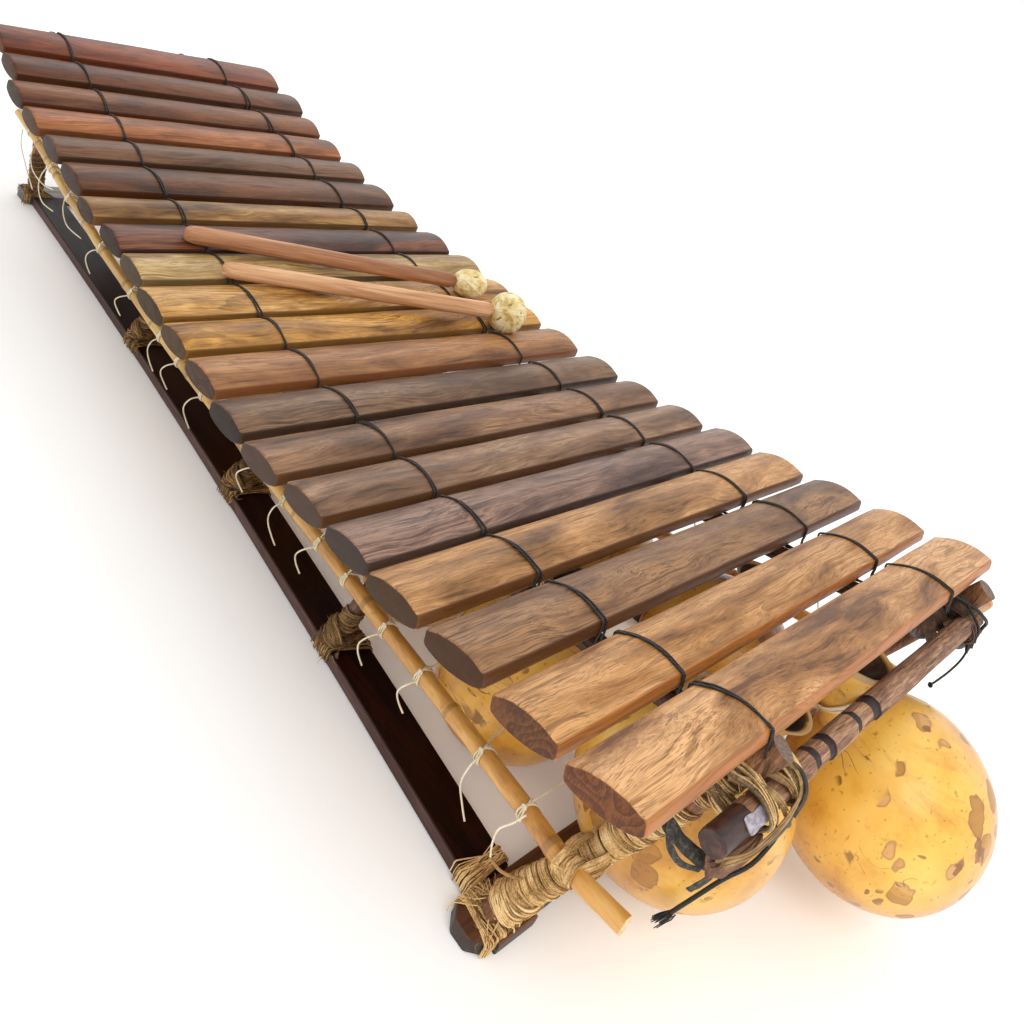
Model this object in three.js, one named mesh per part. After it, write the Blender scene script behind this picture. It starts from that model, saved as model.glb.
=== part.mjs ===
// Frame xylophone with gourd resonators (balafon).
// Millimetres, +Z up. The row of bars runs along Y, long low-pitched bars at -Y,
// each bar lies along X. The frame is wider at the floor than at the top and
// its upper rails sag, so the middle bars sit lower than the bars at either end.
import * as THREE from 'three';

// ---------------------------------------------------------------- driving dimensions
// one row per bar, low end last: [near edge y, far edge y, left end x, right end x]
const BARS = [
  [1078.7, 1135.7, -187.5, 192.8], [1017.5, 1065.4, -193.5, 198.8], [956.2, 1003.9, -207.7, 191.7],
  [901.3, 948.5, -209.5, 192.9], [848.6, 892.1, -207.9, 199.1], [786.1, 838.9, -208.3, 204.8],
  [735.2, 774.4, -216.0, 207.9], [678.0, 725.6, -213.2, 217.5], [625.2, 672.8, -215.9, 230.2],
  [564.8, 616.7, -224.7, 232.0], [513.0, 558.2, -229.0, 228.9], [454.4, 504.4, -234.0, 233.3],
  [395.5, 442.8, -244.9, 238.3], [340.2, 387.2, -249.2, 242.4], [285.5, 332.4, -247.4, 251.2],
  [230.3, 278.0, -250.4, 263.5], [174.1, 224.7, -256.8, 266.4], [115.0, 164.3, -260.6, 271.4],
  [54.1, 102.7, -268.2, 268.3], [-4.5, 45.0, -275.8, 264.2]];
const ROW_SAG = [233.09, -316.76, 368.15, -92.37];   // bar shoulder height against y in metres (cubic)
const BAR_ARCH = 6.5;          // rise of the arched top over the shoulders
const BAR_SIDE = 8.5;          // height of the blunt long sides
const BAR_BELLY = 5.0;         // depth of the rounded underside below the sides
const BAR_SCALLOP = 4.0;       // tuning hollow carved under the middle
const BAR_DROP = 2.5;          // free space between bar and bed cord
const CORD_R = 2.0;            // bed cord radius
const RAIL_R = 7.5;            // upper rail radius
const RAIL_X = 141.0;          // rail half spacing at y = 0
const RAIL_TAPER = 0.0424;     // rails close in towards the high end
const RAIL_Y = [27, 1182];          // where the rails begin and end
const BED_Y = [19, 1160];           // where the bed cords begin and end
const GAP = 0.3;
const BOARD_T = 12.0;          // base board thickness
const BOARD_W = 36.0;          // base board width
const CROSS_NEAR = [50.0, 82.0, 226.0];     // near cross board: y from, y to, half length
const CROSS_FAR = [1080.0, 1114.0, 127.0];
const SLAT_R = 8.2;
const SLAT_NEAR = [-21.0, 193.6, -206.0, 231.0];    // y, z, x from, x to
const SLAT_FAR = [1160.0, 171.0, -146.0, 146.0];
// corner posts, leaning outwards past the inner side of the end slats: foot x, y; top x, y, z; radii
const LEGS = {
  leg_near_left: [-200, 65, -143, -8, 217, 9, 9], leg_near_right: [212, 65, 215, -6, 217, 9, 9],
  leg_far_left: [-110, 1097, -112, 1137, 194, 8, 7.5], leg_far_right: [110, 1097, 112, 1137, 194, 8, 7.5] };
const STRUT_R = 7.0;
const STRUT_Y = [298, 492, 743];
const GOURD_WALL = 4.5;
// body centre, body radius, mouth centre, mouth radius, where the neck bends upright
const GOURDS = [
  [[77, -56, 98.5], 79, [66, 11, 187], 26.5, [46, 6, 163]],
  [[-84.3, 33.8, 102.3], 77, [-64, 17, 191], 25, [-64, 20, 176]],
  [[84, 112, 84], 66, [80, 104, 173], 24],
  [[-98, 175, 67.8], 64, [-84, 174, 161], 23],
  [[84, 252, 72], 58, [78, 240, 148], 22],
  [[-88, 306, 66], 54, [-78, 306, 138], 21],
  [[80, 392, 65], 51, [74, 384, 128], 20],
  [[-80, 446, 62], 49, [-72, 446, 124], 19],
  [[76, 534, 61], 47, [70, 528, 121], 18],
  [[-74, 596, 61], 45.5, [-68, 596, 121], 18],
  [[70, 686, 64], 44, [66, 684, 125], 17],
  [[-68, 760, 68], 42.5, [-62, 760, 132], 17],
  [[64, 846, 76], 41, [58, 848, 142], 16],
  [[-58, 934, 86], 39, [-54, 940, 154], 15.5]];
const CANE = [
  [-205, -8, 104], [-205.5, 36, 98.5], [-197, 86, 92.5], [-179, 216, 77.5], [-173, 272, 72.5],
  [-166, 344, 68], [-161, 406, 64.5], [-156.5, 480, 61], [-151, 577, 58.5], [-144.5, 680, 57.5],
  [-140.5, 756, 60], [-137, 846, 64], [-135.5, 905, 71], [-134.5, 968, 78], [-134, 1030, 89],
  [-133.5, 1085, 98], [-133, 1135, 103]];
const CANE_RIGHT_OUT = 25;     // the right cane swings this much further out at the near leg
// striking mallets: tip of the grip, centre of the head, grip radii, head radii
const MALLETS = [
  { name: 'mallet_a', butt: [-147.5, 689, 172.8], head: [151, 575, 176.1], grip: 9.5, neck: 8.5, r: 16.5, s: 0.92 },
  { name: 'mallet_b', butt: [-139, 625, 169.3], head: [150, 508, 176.4], grip: 8.5, neck: 8.8, r: 20.5, s: 0.9 }];

// ---------------------------------------------------------------- helpers
const group = new THREE.Group();
group.name = 'frame_xylophone';
const TAU = Math.PI * 2;
const shoulder = (y) => { const t = y / 1000; return ROW_SAG[0] + t * (ROW_SAG[1] + t * (ROW_SAG[2] + t * ROW_SAG[3])); };
const slope = (y) => { const t = y / 1000; return (ROW_SAG[1] + t * (2 * ROW_SAG[2] + 3 * t * ROW_SAG[3])) / 1000; };
const railX = (y) => RAIL_X - RAIL_TAPER * y;
const outer = (y) => 212 - 0.1258 * y + 0.0000365 * y * y;   // outer edge of the base boards, slightly bowed
// point a given distance below the bar shoulders, measured square to the row
const below = (y, d) => { const m = slope(y), n = Math.hypot(1, m); return [y + d * m / n, shoulder(y) - d / n]; };
const railPath = (d, y0, y1, n) => {
  const out = [];
  for (let i = 0; i <= n; i++) { const y = y0 + (y1 - y0) * i / n; const [yy, zz] = below(y, d); out.push([railX(yy), yy, zz]); }
  return out;
};
// rings of equal point count joined in order, both ends capped with fans
function loft(rings, capCentres) {
  const pos = [], idx = [], n = rings[0].length;
  rings.forEach((r) => r.forEach((p) => pos.push(...p)));
  for (let k = 0; k + 1 < rings.length; k++) for (let i = 0; i < n; i++) {
    const a = k * n + i, b = k * n + (i + 1) % n, c = a + n, d = b + n;
    idx.push(a, b, c, b, d, c);
  }
  const cap = (k, flip, centre) => {
    const base = k * n;
    if (centre) {
      const c = pos.length / 3; pos.push(...centre);
      for (let i = 0; i < n; i++) { const a = base + i, b = base + (i + 1) % n; flip ? idx.push(c, b, a) : idx.push(c, a, b); }
    } else for (let i = 1; i + 1 < n; i++) flip ? idx.push(base, base + i + 1, base + i) : idx.push(base, base + i, base + i + 1);
  };
  cap(0, true, capCentres && capCentres[0]);
  cap(rings.length - 1, false, capCentres && capCentres[1]);
  let g = new THREE.BufferGeometry();
  g.setAttribute('position', new THREE.Float32BufferAttribute(pos, 3));
  g.setIndex(idx);
  if (volume(g) < 0) { for (let i = 0; i < idx.length; i += 3) { const t = idx[i + 1]; idx[i + 1] = idx[i + 2]; idx[i + 2] = t; } g.setIndex(idx); }
  return g;
}
function volume(g) {
  const p = g.attributes.position, ix = g.index; let v = 0;
  const a = new THREE.Vector3(), b = new THREE.Vector3(), c = new THREE.Vector3();
  for (let i = 0; i < ix.count; i += 3) {
    a.fromBufferAttribute(p, ix.getX(i)); b.fromBufferAttribute(p, ix.getX(i + 1)); c.fromBufferAttribute(p, ix.getX(i + 2));
    v += a.dot(b.cross(c)) / 6;
  }
  return v;
}
function add(name, geom, color, rough, metal = 0) {
  const g = geom.index ? geom.toNonIndexed() : geom;
  g.computeVertexNormals();
  const m = new THREE.Mesh(g, new THREE.MeshStandardMaterial({ color, roughness: rough, metalness: metal, name }));
  m.name = name;
  group.add(m);
  return m;
}
// round stick swept along points, radius per point
function stick(points, radii, sides) {
  const P = points.map((p) => new THREE.Vector3(...p));
  const rings = [];
  let up = new THREE.Vector3(0, 0, 1);
  P.forEach((p, i) => {
    const t = P[Math.min(i + 1, P.length - 1)].clone().sub(P[Math.max(i - 1, 0)]).normalize();
    const u = up.clone().sub(t.clone().multiplyScalar(up.dot(t))).normalize();
    const v = new THREE.Vector3().crossVectors(t, u);
    const r = Array.isArray(radii) ? radii[i] : radii, ring = [];
    for (let k = 0; k < sides; k++) {
      const a = TAU * (k + 0.5) / sides;
      const q = p.clone().addScaledVector(u, r * Math.cos(a)).addScaledVector(v, r * Math.sin(a));
      ring.push([q.x, q.y, q.z]);
    }
    rings.push(ring);
  });
  return loft(rings);
}
// leaning post with level ends
function post(foot, top, r0, r1, sides, levels) {
  const d = [top[0] - foot[0], top[1] - foot[1], top[2] - foot[2]];
  const sx = Math.hypot(d[0], d[2]) / d[2], sy = Math.hypot(d[1], d[2]) / d[2], rings = [];
  for (let k = 0; k <= levels; k++) {
    const t = k / levels, r = r0 + (r1 - r0) * t, ring = [];
    const c = [foot[0] + d[0] * t, foot[1] + d[1] * t, foot[2] + d[2] * t];
    for (let i = 0; i < sides; i++) { const a = TAU * (i + 0.5) / sides; ring.push([c[0] + sx * r * Math.cos(a), c[1] + sy * r * Math.sin(a), c[2]]); }
    rings.push(ring);
  }
  return loft(rings);
}
const mirror = (pts) => pts.map(([x, y, z]) => [-x, y, z]);

// ---------------------------------------------------------------- bars
BARS.forEach(([y0, y1, xl, xr], i) => {
  const yc = (y0 + y1) / 2, z0 = shoulder(y0), z1 = shoulder(y1);
  const w = Math.hypot(y1 - y0, z1 - z0), m = (z1 - z0) / (y1 - y0), n = Math.hypot(1, m);
  const zc = (z0 + z1) / 2, L = xr - xl;
  // section, v across the bar, h square to it
  const sec = (belly) => [[-0.5, 0], [-0.3, 0.62], [0, 1], [0.3, 0.62], [0.5, 0]].map(([v, h]) => [v * w, h * BAR_ARCH])
    .concat([[0.5, -1, 0], [0.27, -1, 0.8], [0, -1, 1], [-0.27, -1, 0.8], [-0.5, -1, 0]].map(([v, h, b]) => [v * w, h * BAR_SIDE - b * belly]));
  const ring = (x, belly, k) => sec(belly).map(([v, h]) => {
    const vv = v * k, hh = -BAR_SIDE / 2 + (h + BAR_SIDE / 2) * k;
    return [x, yc + (vv - hh * m) / n, zc + (vv * m + hh) / n];
  });
  const rings = [ring(xl, BAR_BELLY, 0.9), ring(xl + 3, BAR_BELLY, 1), ring(xl + 0.3 * L, BAR_BELLY, 1),
    ring(xl + 0.5 * L, BAR_BELLY - BAR_SCALLOP, 1), ring(xl + 0.7 * L, BAR_BELLY, 1), ring(xr - 3, BAR_BELLY, 1), ring(xr, BAR_BELLY, 0.9)];
  const tone = [0x8a5a34, 0x5c3b2b, 0xa9743f, 0x6d4a35][(i * 7 + 3) % 4];
  add('bar_' + String(i + 1).padStart(2, '0'), loft(rings), tone, 0.5);
});

// ---------------------------------------------------------------- bed cords and upper rails
const cordD = BAR_SIDE + BAR_BELLY + BAR_DROP + CORD_R;
const railD = cordD + CORD_R + GAP + RAIL_R + 0.15;
const cordL = mirror(railPath(cordD, BED_Y[0], BED_Y[1], 16));
add('bed_cord_left', stick(cordL, CORD_R, 6), 0x151312, 0.8);
add('bed_cord_right', stick(mirror(cordL), CORD_R, 6), 0x151312, 0.8);
const railL = mirror(railPath(railD, RAIL_Y[0], RAIL_Y[1] - 2, 14));
add('rail_left', stick(railL, RAIL_R, 8), 0x4a2f22, 0.7);
add('rail_right', stick(mirror(railL), RAIL_R, 8), 0x4a2f22, 0.7);

// ---------------------------------------------------------------- base boards
for (const side of [-1, 1]) {
  const ya = CROSS_NEAR[1] + GAP, yb = CROSS_FAR[0] - GAP, rings = [];
  for (let k = 0; k <= 6; k++) {
    const y = ya + (yb - ya) * k / 6, xo = side * outer(y), xi = side * (outer(y) - BOARD_W);
    rings.push([[xo, y, 0], [xi, y, 0], [xi, y, BOARD_T], [xo, y, BOARD_T]]);
  }
  add(side < 0 ? 'base_board_left' : 'base_board_right', loft(rings), 0x36150f, 0.45);
}
for (const [name, [ya, yb, hx]] of [['base_cross_near', CROSS_NEAR], ['base_cross_far', CROSS_FAR]]) {
  const c = 9, poly = [[-hx + c, ya], [hx - c, ya], [hx, ya + c], [hx, yb - c], [hx - c, yb], [-hx + c, yb], [-hx, yb - c], [-hx, ya + c]];
  add(name, loft([poly.map(([x, y]) => [x, y, 0]), poly.map(([x, y]) => [x, y, BOARD_T])]), 0x2e130e, 0.5);
}

// ---------------------------------------------------------------- legs, struts, end slats
for (const [name, [x0, y0, x1, y1, z1, r0, r1]] of Object.entries(LEGS)) {
  add(name, post([x0, y0, BOARD_T + GAP], [x1, y1, z1], r0, r1, 10, 1), 0x5a3a26, 0.75);
}
for (const side of [-1, 1]) {
  const tag = side < 0 ? 'left' : 'right';
  STRUT_Y.forEach((y, k) => {
    const rz = shoulder(y) - railD - RAIL_R - 1.6;
    add(`strut_${tag}_${k + 1}`, post([side * (outer(y) - 8), y, BOARD_T + GAP], [side * railX(y), y, rz], STRUT_R, STRUT_R - 0.5, 8, 1), 0x4f3324, 0.75);
  });
}
for (const [name, [y, z, xa, xb]] of [['slat_near', SLAT_NEAR], ['slat_far', SLAT_FAR]]) {
  const at = (t) => xa + (xb - xa) * t;   // two shallow cut notches along each slat
  const stations = [[xa, 0.86], [xa + 5, 1], [at(0.33), 1], [at(0.335), 0.86], [at(0.38), 0.86], [at(0.385), 1],
    [at(0.56), 1], [at(0.565), 0.86], [at(0.605), 0.86], [at(0.61), 1], [xb - 5, 1], [xb, 0.86]];
  const rings = stations.map(([x, k]) => Array.from({ length: 8 }, (_, i) => {
    const a = TAU * (i + 0.5) / 8, r = k * SLAT_R / Math.cos(Math.PI / 8);
    return [x, y + r * Math.cos(a), z + r * Math.sin(a)];
  }));
  add(name, loft(rings), 0x2c211d, 0.7);
}

// ---------------------------------------------------------------- side canes
const caneR = CANE.map((_, i) => 6.6 - 1.3 * i / (CANE.length - 1));
add('cane_left', stick(CANE, caneR, 8), 0xd9a544, 0.4);
const swing = (y) => { const t = Math.min(1, Math.max(0, (420 - y) / 384)); return CANE_RIGHT_OUT * t * t * (3 - 2 * t); };
add('cane_right', stick(mirror(CANE).map(([x, y, z]) => [x + swing(y), y, z]), caneR, 8), 0xd9a544, 0.4);

// ---------------------------------------------------------------- gourd resonators
// outer skin from the bottom up to the flared mouth, then the inner skin back down
GOURDS.forEach(([c, R, m, rm, bend], i) => {
  const neck = 0.68 * rm, wall = GOURD_WALL, ri = R - wall, N = 12, D = 180 / Math.PI;
  const C = new THREE.Vector3(...c), M = new THREE.Vector3(...m);
  const P = bend ? new THREE.Vector3(...bend) : new THREE.Vector3(m[0], m[1], m[2] - 0.55 * rm);
  const axis = P.clone().sub(C).normalize(), up = new THREE.Vector3(0, 0, 1);
  const ring = (centre, dir, r) => {      // circle square to dir
    const u = new THREE.Vector3(1, 0, 0).addScaledVector(dir, -dir.x).normalize(), v = new THREE.Vector3().crossVectors(dir, u);
    return Array.from({ length: N }, (_, k) => {
      const a = TAU * k / N, q = centre.clone().addScaledVector(u, r * Math.cos(a)).addScaledVector(v, r * Math.sin(a));
      return [q.x, q.y, q.z];
    });
  };
  const onBody = (rad, deg) => ring(C.clone().addScaledVector(axis, rad * Math.sin(deg / D)), axis, rad * Math.cos(deg / D));
  const aOut = Math.acos(1.28 * neck / R) * D, aIn = Math.acos((1.28 * neck - wall) / ri) * D;
  const mid = axis.clone().add(up).normalize();
  const rings = [-66, -38, -12, 14, 38, 58].map((a) => onBody(R, a));
  rings.push(onBody(R, aOut), ring(P, mid, neck), ring(M, up, rm), ring(M, up, rm - wall * 0.7), ring(P, mid, neck - wall * 0.75));
  rings.push(onBody(ri, aIn));
  for (const a of [48, 14, -24, -58]) rings.push(onBody(ri, a));
  const pole = (rad) => { const q = C.clone().addScaledVector(axis, -rad); return [q.x, q.y, q.z]; };
  add('gourd_' + String(i + 1).padStart(2, '0'), loft(rings, [pole(R), pole(ri)]), 0xd9a23a, 0.35);
});

// ---------------------------------------------------------------- mallets
MALLETS.forEach(({ name, butt, head, grip, neck, r, s }) => {
  const A = new THREE.Vector3(...butt), B = new THREE.Vector3(...head), L = A.distanceTo(B);
  const q = new THREE.Quaternion().setFromUnitVectors(new THREE.Vector3(0, 1, 0), B.clone().sub(A).normalize());
  const place = (g) => { g.applyQuaternion(q); g.translate(A.x, A.y, A.z); return g; };
  const e = r * s, sp = 5, hole = 5.3, z0 = L - Math.sqrt(1 - (hole / r) ** 2) * e;   // e: half length of the head along the grip
  const pts = [[0, 0], [grip * 0.62, 1.5], [grip * 0.95, 9], [grip, 30], [neck, L * 0.72], [neck, L - e - 3], [sp, L - e - 0.6], [sp, L], [0, L]];
  add(name + '_handle', place(lathe(pts, 12)), 0xb9795a, 0.6);
  const ball = [[0, L + GAP + 0.2], [hole, L + GAP + 0.2], [hole, z0]];
  for (const a of [-48, -22, 4, 30, 58]) ball.push([r * Math.cos(a * Math.PI / 180), L + e * Math.sin(a * Math.PI / 180)]);
  ball.push([0, L + e]);
  add(name + '_head', place(lathe(ball, 12)), 0xe6d49a, 0.8);
});
// solid of revolution about Y whose profile starts and ends on the axis
function lathe(pts, n) {
  const rings = pts.slice(1, -1).map(([r, h]) => Array.from({ length: n }, (_, k) => [r * Math.cos(TAU * k / n), h, r * Math.sin(TAU * k / n)]));
  return loft(rings, [[0, pts[0][1], 0], [0, pts[pts.length - 1][1], 0]]);
}

// ---------------------------------------------------------------- origin at the middle of the footprint, on the floor
const box = new THREE.Box3().setFromObject(group);
const shift = [-(box.min.x + box.max.x) / 2, -(box.min.y + box.max.y) / 2, -box.min.z];
group.traverse((o) => { if (o.isMesh) o.geometry.translate(...shift); });

export default group;
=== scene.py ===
import math
import random
import bpy
from mathutils import Vector, Matrix, Quaternion
from mathutils import noise as mn


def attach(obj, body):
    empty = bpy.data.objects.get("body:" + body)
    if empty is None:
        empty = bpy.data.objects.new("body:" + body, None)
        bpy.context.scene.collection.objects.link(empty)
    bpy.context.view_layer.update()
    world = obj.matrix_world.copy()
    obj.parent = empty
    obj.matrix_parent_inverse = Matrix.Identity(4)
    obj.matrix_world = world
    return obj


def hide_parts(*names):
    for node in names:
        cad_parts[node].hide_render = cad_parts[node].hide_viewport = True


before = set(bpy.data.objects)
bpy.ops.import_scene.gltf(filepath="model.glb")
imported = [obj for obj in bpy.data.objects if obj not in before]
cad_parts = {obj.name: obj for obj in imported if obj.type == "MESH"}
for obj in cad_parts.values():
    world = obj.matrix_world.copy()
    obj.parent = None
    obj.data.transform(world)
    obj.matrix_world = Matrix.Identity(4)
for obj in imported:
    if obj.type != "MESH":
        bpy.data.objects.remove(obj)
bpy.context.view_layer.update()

# ------------------------------------------------------------------ frame
# drawing coordinates are millimetres on the bench; P() puts them in the shared frame
SX, SY = 2.2, -526.0172


def P(x, y, z):
    return Vector(((x + SX) / 1000, (y + SY) / 1000, z / 1000))


def shoulder(y):
    t = y / 1000
    return 233.09 + t * (-316.76 + t * (368.15 - 92.37 * t))


def slope(y):
    t = y / 1000
    return (-316.76 + t * (2 * 368.15 - 3 * 92.37 * t)) / 1000


def outer(y):
    return 212 - 0.1258 * y + 0.0000365 * y * y


def rail_x(y):
    return 141 - 0.0424 * y


# ------------------------------------------------------------------ camera
cam_data = bpy.data.cameras.new("camera")
cam = bpy.data.objects.new("camera", cam_data)
bpy.context.scene.collection.objects.link(cam)
rv = Vector((1.989848, -0.530903, 0.864775))
R = Quaternion(rv.normalized(), rv.length).to_matrix()
M = Matrix.Identity(4)
for i in range(3):
    M[i][0], M[i][1], M[i][2] = R[0][i], -R[1][i], -R[2][i]
M.translation = Vector((-0.6482, -0.6160, 0.5886))
cam.matrix_world = M
cam_data.sensor_width = 36
cam_data.lens = 978.0 * 36 / 1024
cam_data.shift_x = 0.0
cam_data.shift_y = -0.2
cam_data.clip_start, cam_data.clip_end = 0.01, 50
bpy.context.scene.camera = cam

BARS = [
    [1078.7, 1135.7, -187.5, 192.8], [1017.5, 1065.4, -193.5, 198.8], [956.2, 1003.9, -207.7, 191.7],
    [901.3, 948.5, -209.5, 192.9], [848.6, 892.1, -207.9, 199.1], [786.1, 838.9, -208.3, 204.8],
    [735.2, 774.4, -216.0, 207.9], [678.0, 725.6, -213.2, 217.5], [625.2, 672.8, -215.9, 230.2],
    [564.8, 616.7, -224.7, 232.0], [513.0, 558.2, -229.0, 228.9], [454.4, 504.4, -234.0, 233.3],
    [395.5, 442.8, -244.9, 238.3], [340.2, 387.2, -249.2, 242.4], [285.5, 332.4, -247.4, 251.2],
    [230.3, 278.0, -250.4, 263.5], [174.1, 224.7, -256.8, 266.4], [115.0, 164.3, -260.6, 271.4],
    [54.1, 102.7, -268.2, 268.3], [-4.5, 45.0, -275.8, 264.2]]
CANE = [
    [-205, -8, 104], [-205.5, 36, 98.5], [-197, 86, 92.5], [-179, 216, 77.5], [-173, 272, 72.5],
    [-166, 344, 68], [-161, 406, 64.5], [-156.5, 480, 61], [-151, 577, 58.5], [-144.5, 680, 57.5],
    [-140.5, 756, 60], [-137, 846, 64], [-135.5, 905, 71], [-134.5, 968, 78], [-134, 1030, 89],
    [-133.5, 1085, 98], [-133, 1135, 103]]
GOURDS = [
    [[77, -56, 98.5], 79, [66, 11, 187], 26.5, [46, 6, 163]],
    [[-84.3, 33.8, 102.3], 77, [-64, 17, 191], 25, [-64, 20, 176]],
    [[84, 112, 84], 66, [80, 104, 173], 24, None], [[-98, 175, 67.8], 64, [-84, 174, 161], 23, None],
    [[84, 252, 72], 58, [78, 240, 148], 22, None], [[-88, 306, 66], 54, [-78, 306, 138], 21, None],
    [[80, 392, 65], 51, [74, 384, 128], 20, None], [[-80, 446, 62], 49, [-72, 446, 124], 19, None],
    [[76, 534, 61], 47, [70, 528, 121], 18, None], [[-74, 596, 61], 45.5, [-68, 596, 121], 18, None],
    [[70, 686, 64], 44, [66, 684, 125], 17, None], [[-68, 760, 68], 42.5, [-62, 760, 132], 17, None],
    [[64, 846, 76], 41, [58, 848, 142], 16, None], [[-58, 934, 86], 39, [-54, 940, 154], 15.5, None]]
MALLETS = [
    ("mallet_a", [-147.5, 689, 172.8], [151, 575, 176.1], 9.5, 8.5, 16.2, 1.32),
    ("mallet_b", [-139, 625, 169.3], [150, 508, 176.4], 8.5, 8.8, 23.5, 0.88)]
LEGS = {
    "leg_near_left": ([-200, 65, 12.3], [-143, -8, 217], 9, 9), "leg_near_right": ([212, 65, 12.3], [215, -6, 217], 9, 9),
    "leg_far_left": ([-110, 1097, 12.3], [-112, 1137, 194], 8, 7.5), "leg_far_right": ([110, 1097, 12.3], [112, 1137, 194], 8, 7.5)}
STRUT_Y = [298, 492, 743]


# ------------------------------------------------------------------ mesh helpers
def catmull(pts, k=6):
    p = [Vector(q) for q in pts]
    out = []
    for i in range(len(p) - 1):
        a, b, c, d = p[max(i - 1, 0)], p[i], p[i + 1], p[min(i + 2, len(p) - 1)]
        for j in range(k):
            t = j / k
            out.append(0.5 * ((2 * b) + (c - a) * t + (2 * a - 5 * b + 4 * c - d) * t * t + (3 * b - a - 3 * c + d) * t ** 3))
    out.append(p[-1])
    return out


def length(pts):
    return sum((Vector(pts[i + 1]) - Vector(pts[i])).length for i in range(len(pts) - 1))


class Acc:
    """Gathers closed shells in millimetres and makes one object of them."""

    def __init__(self):
        self.v, self.f, self.m, self.w = [], [], [], []

    def add(self, verts, faces, mat=0, zone_mask=0.0):
        b = len(self.v)
        self.v += [tuple(v) for v in verts]
        self.f += [[i + b for i in f] for f in faces]
        self.m += [mat] * len(faces)
        self.w += list(zone_mask) if hasattr(zone_mask, "__len__") else [zone_mask] * len(verts)

    def rings(self, rings, mat=0, zone_mask=0.0, caps=True, loop=False, capmat=None):
        n = len(rings[0])
        verts = [p for r in rings for p in r]
        faces = []
        m = len(rings)
        for k in range(m if loop else m - 1):
            for i in range(n):
                a, b = k * n + i, k * n + (i + 1) % n
                c, d = ((k + 1) % m) * n + i, ((k + 1) % m) * n + (i + 1) % n
                faces.append([a, b, d, c])
        w = list(zone_mask) if hasattr(zone_mask, "__len__") else [zone_mask] * len(verts)
        base = len(faces)
        if caps and not loop:
            for k, flip in ((0, True), (m - 1, False)):
                c = Vector((0, 0, 0))
                for p in rings[k]:
                    c += Vector(p)
                verts.append(c / n)
                w.append(w[k * n])
                ci = len(verts) - 1
                for i in range(n):
                    a, b = k * n + i, k * n + (i + 1) % n
                    faces.append([ci, b, a] if flip else [ci, a, b])
        # outward orientation
        vol = 0.0
        for f in faces:
            p0 = Vector(verts[f[0]])
            for i in range(1, len(f) - 1):
                vol += p0.dot(Vector(verts[f[i]]).cross(Vector(verts[f[i + 1]])))
        if vol < 0:
            faces = [f[::-1] for f in faces]
        b = len(self.m)
        self.add(verts, faces, mat, w)
        if capmat is not None:
            for i in range(b + base, len(self.m)):
                self.m[i] = capmat

    def tube(self, pts, r, sides=8, mat=0, zone_mask=0.0, flat=1.0, up=None, caps=True, loop=False, capmat=None, bump=None, edge=False):
        p = [Vector(q) for q in pts]
        n = len(p)
        rings = []
        ref = None
        for i in range(n):
            if loop:
                t = (p[(i + 1) % n] - p[i - 1])
            else:
                t = p[min(i + 1, n - 1)] - p[max(i - 1, 0)]
            if t.length < 1e-9:
                t = Vector((0, 0, 1))
            t.normalize()
            if up is not None:
                u = Vector(up[i]) if hasattr(up[0], "__len__") else Vector(up)
            elif ref is None:
                u = Vector((0, 0, 1)) if abs(t.z) < 0.9 else Vector((1, 0, 0))
            else:
                u = ref
            u = (u - t * u.dot(t))
            if u.length < 1e-6:
                u = t.orthogonal()
            u.normalize()
            ref = u
            v = t.cross(u)
            rr = r[i] if hasattr(r, "__len__") else r
            ring = []
            for k in range(sides):
                a = 2 * math.pi * k / sides
                q = rr * (1 + (bump(i, a) if bump else 0))
                ring.append(p[i] + u * (q * flat * math.cos(a)) + v * (q * math.sin(a)))
            rings.append(ring)
        # edge: the mask is 1 at the flat band's two thin edges, where the twine and rubber colours paint shade
        if edge:
            zone_mask = [abs(math.sin(2 * math.pi * k / sides)) ** 2 for _ in range(n) for k in range(sides)]
        self.rings(rings, mat, zone_mask, caps, loop, capmat)

    def bundle(self, pts, ups, width, thick, rnd, mats=(0,), strands=3, loop=False, r=0.5, taper=False):
        """flat band of fibres with loose strands lying on it"""
        n = len(pts)
        P_ = [Vector(p) for p in pts]
        U_ = [Vector(ups).normalized()] * n if not hasattr(ups[0], "__len__") else [Vector(u).normalized() for u in ups]
        ph = rnd.uniform(0, 50)
        rr = []
        for i in range(n):
            f = i / max(1, n - 1)
            k = 1 + 0.22 * (mn.noise(Vector((ph, i * 0.35, 0))) if not loop else mn.noise(Vector((ph + math.cos(6.283 * i / n), math.sin(6.283 * i / n), 0))))
            if taper and not loop:
                k *= min(1.0, 0.35 + 3 * f, 0.35 + 3 * (1 - f))
            rr.append(width / 2 * k)
        self.tube(P_, rr, 10, mats[0], flat=thick / width, up=U_, loop=loop, caps=not loop, edge=True)
        for s_ in range(strands):
            lat = rnd.uniform(-0.46, 0.46) * width
            a0, rad = rnd.uniform(0, 9), r * rnd.uniform(0.7, 1.35)
            q = []
            for i in range(n):
                t = (P_[(i + 1) % n] - P_[i - 1]) if loop else (P_[min(i + 1, n - 1)] - P_[max(i - 1, 0)])
                t = t.normalized() if t.length > 1e-6 else Vector((1, 0, 0))
                u = (U_[i] - t * U_[i].dot(t))
                u = u.normalized() if u.length > 1e-6 else t.orthogonal().normalized()
                sd = t.cross(u)
                ang = 6.283 * i / n
                wv = mn.noise(Vector((a0 + 1.2 * math.cos(ang), 1.2 * math.sin(ang), s_))) if loop else mn.noise(Vector((a0, i * 0.22, s_)))
                l_ = lat + wv * width * 0.25
                h_ = thick / 2 * math.sqrt(max(0.0, 1 - min(1.0, abs(2 * l_ / width)) ** 2)) + rad * 0.55
                p_ = P_[i] + sd * l_ + u * h_
                p_.z = max(p_.z, rad + 0.1)
                q.append(p_)
            self.tube(q, rad, 5, mats[rnd.randrange(len(mats))], up=U_, loop=loop, caps=not loop)

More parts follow.
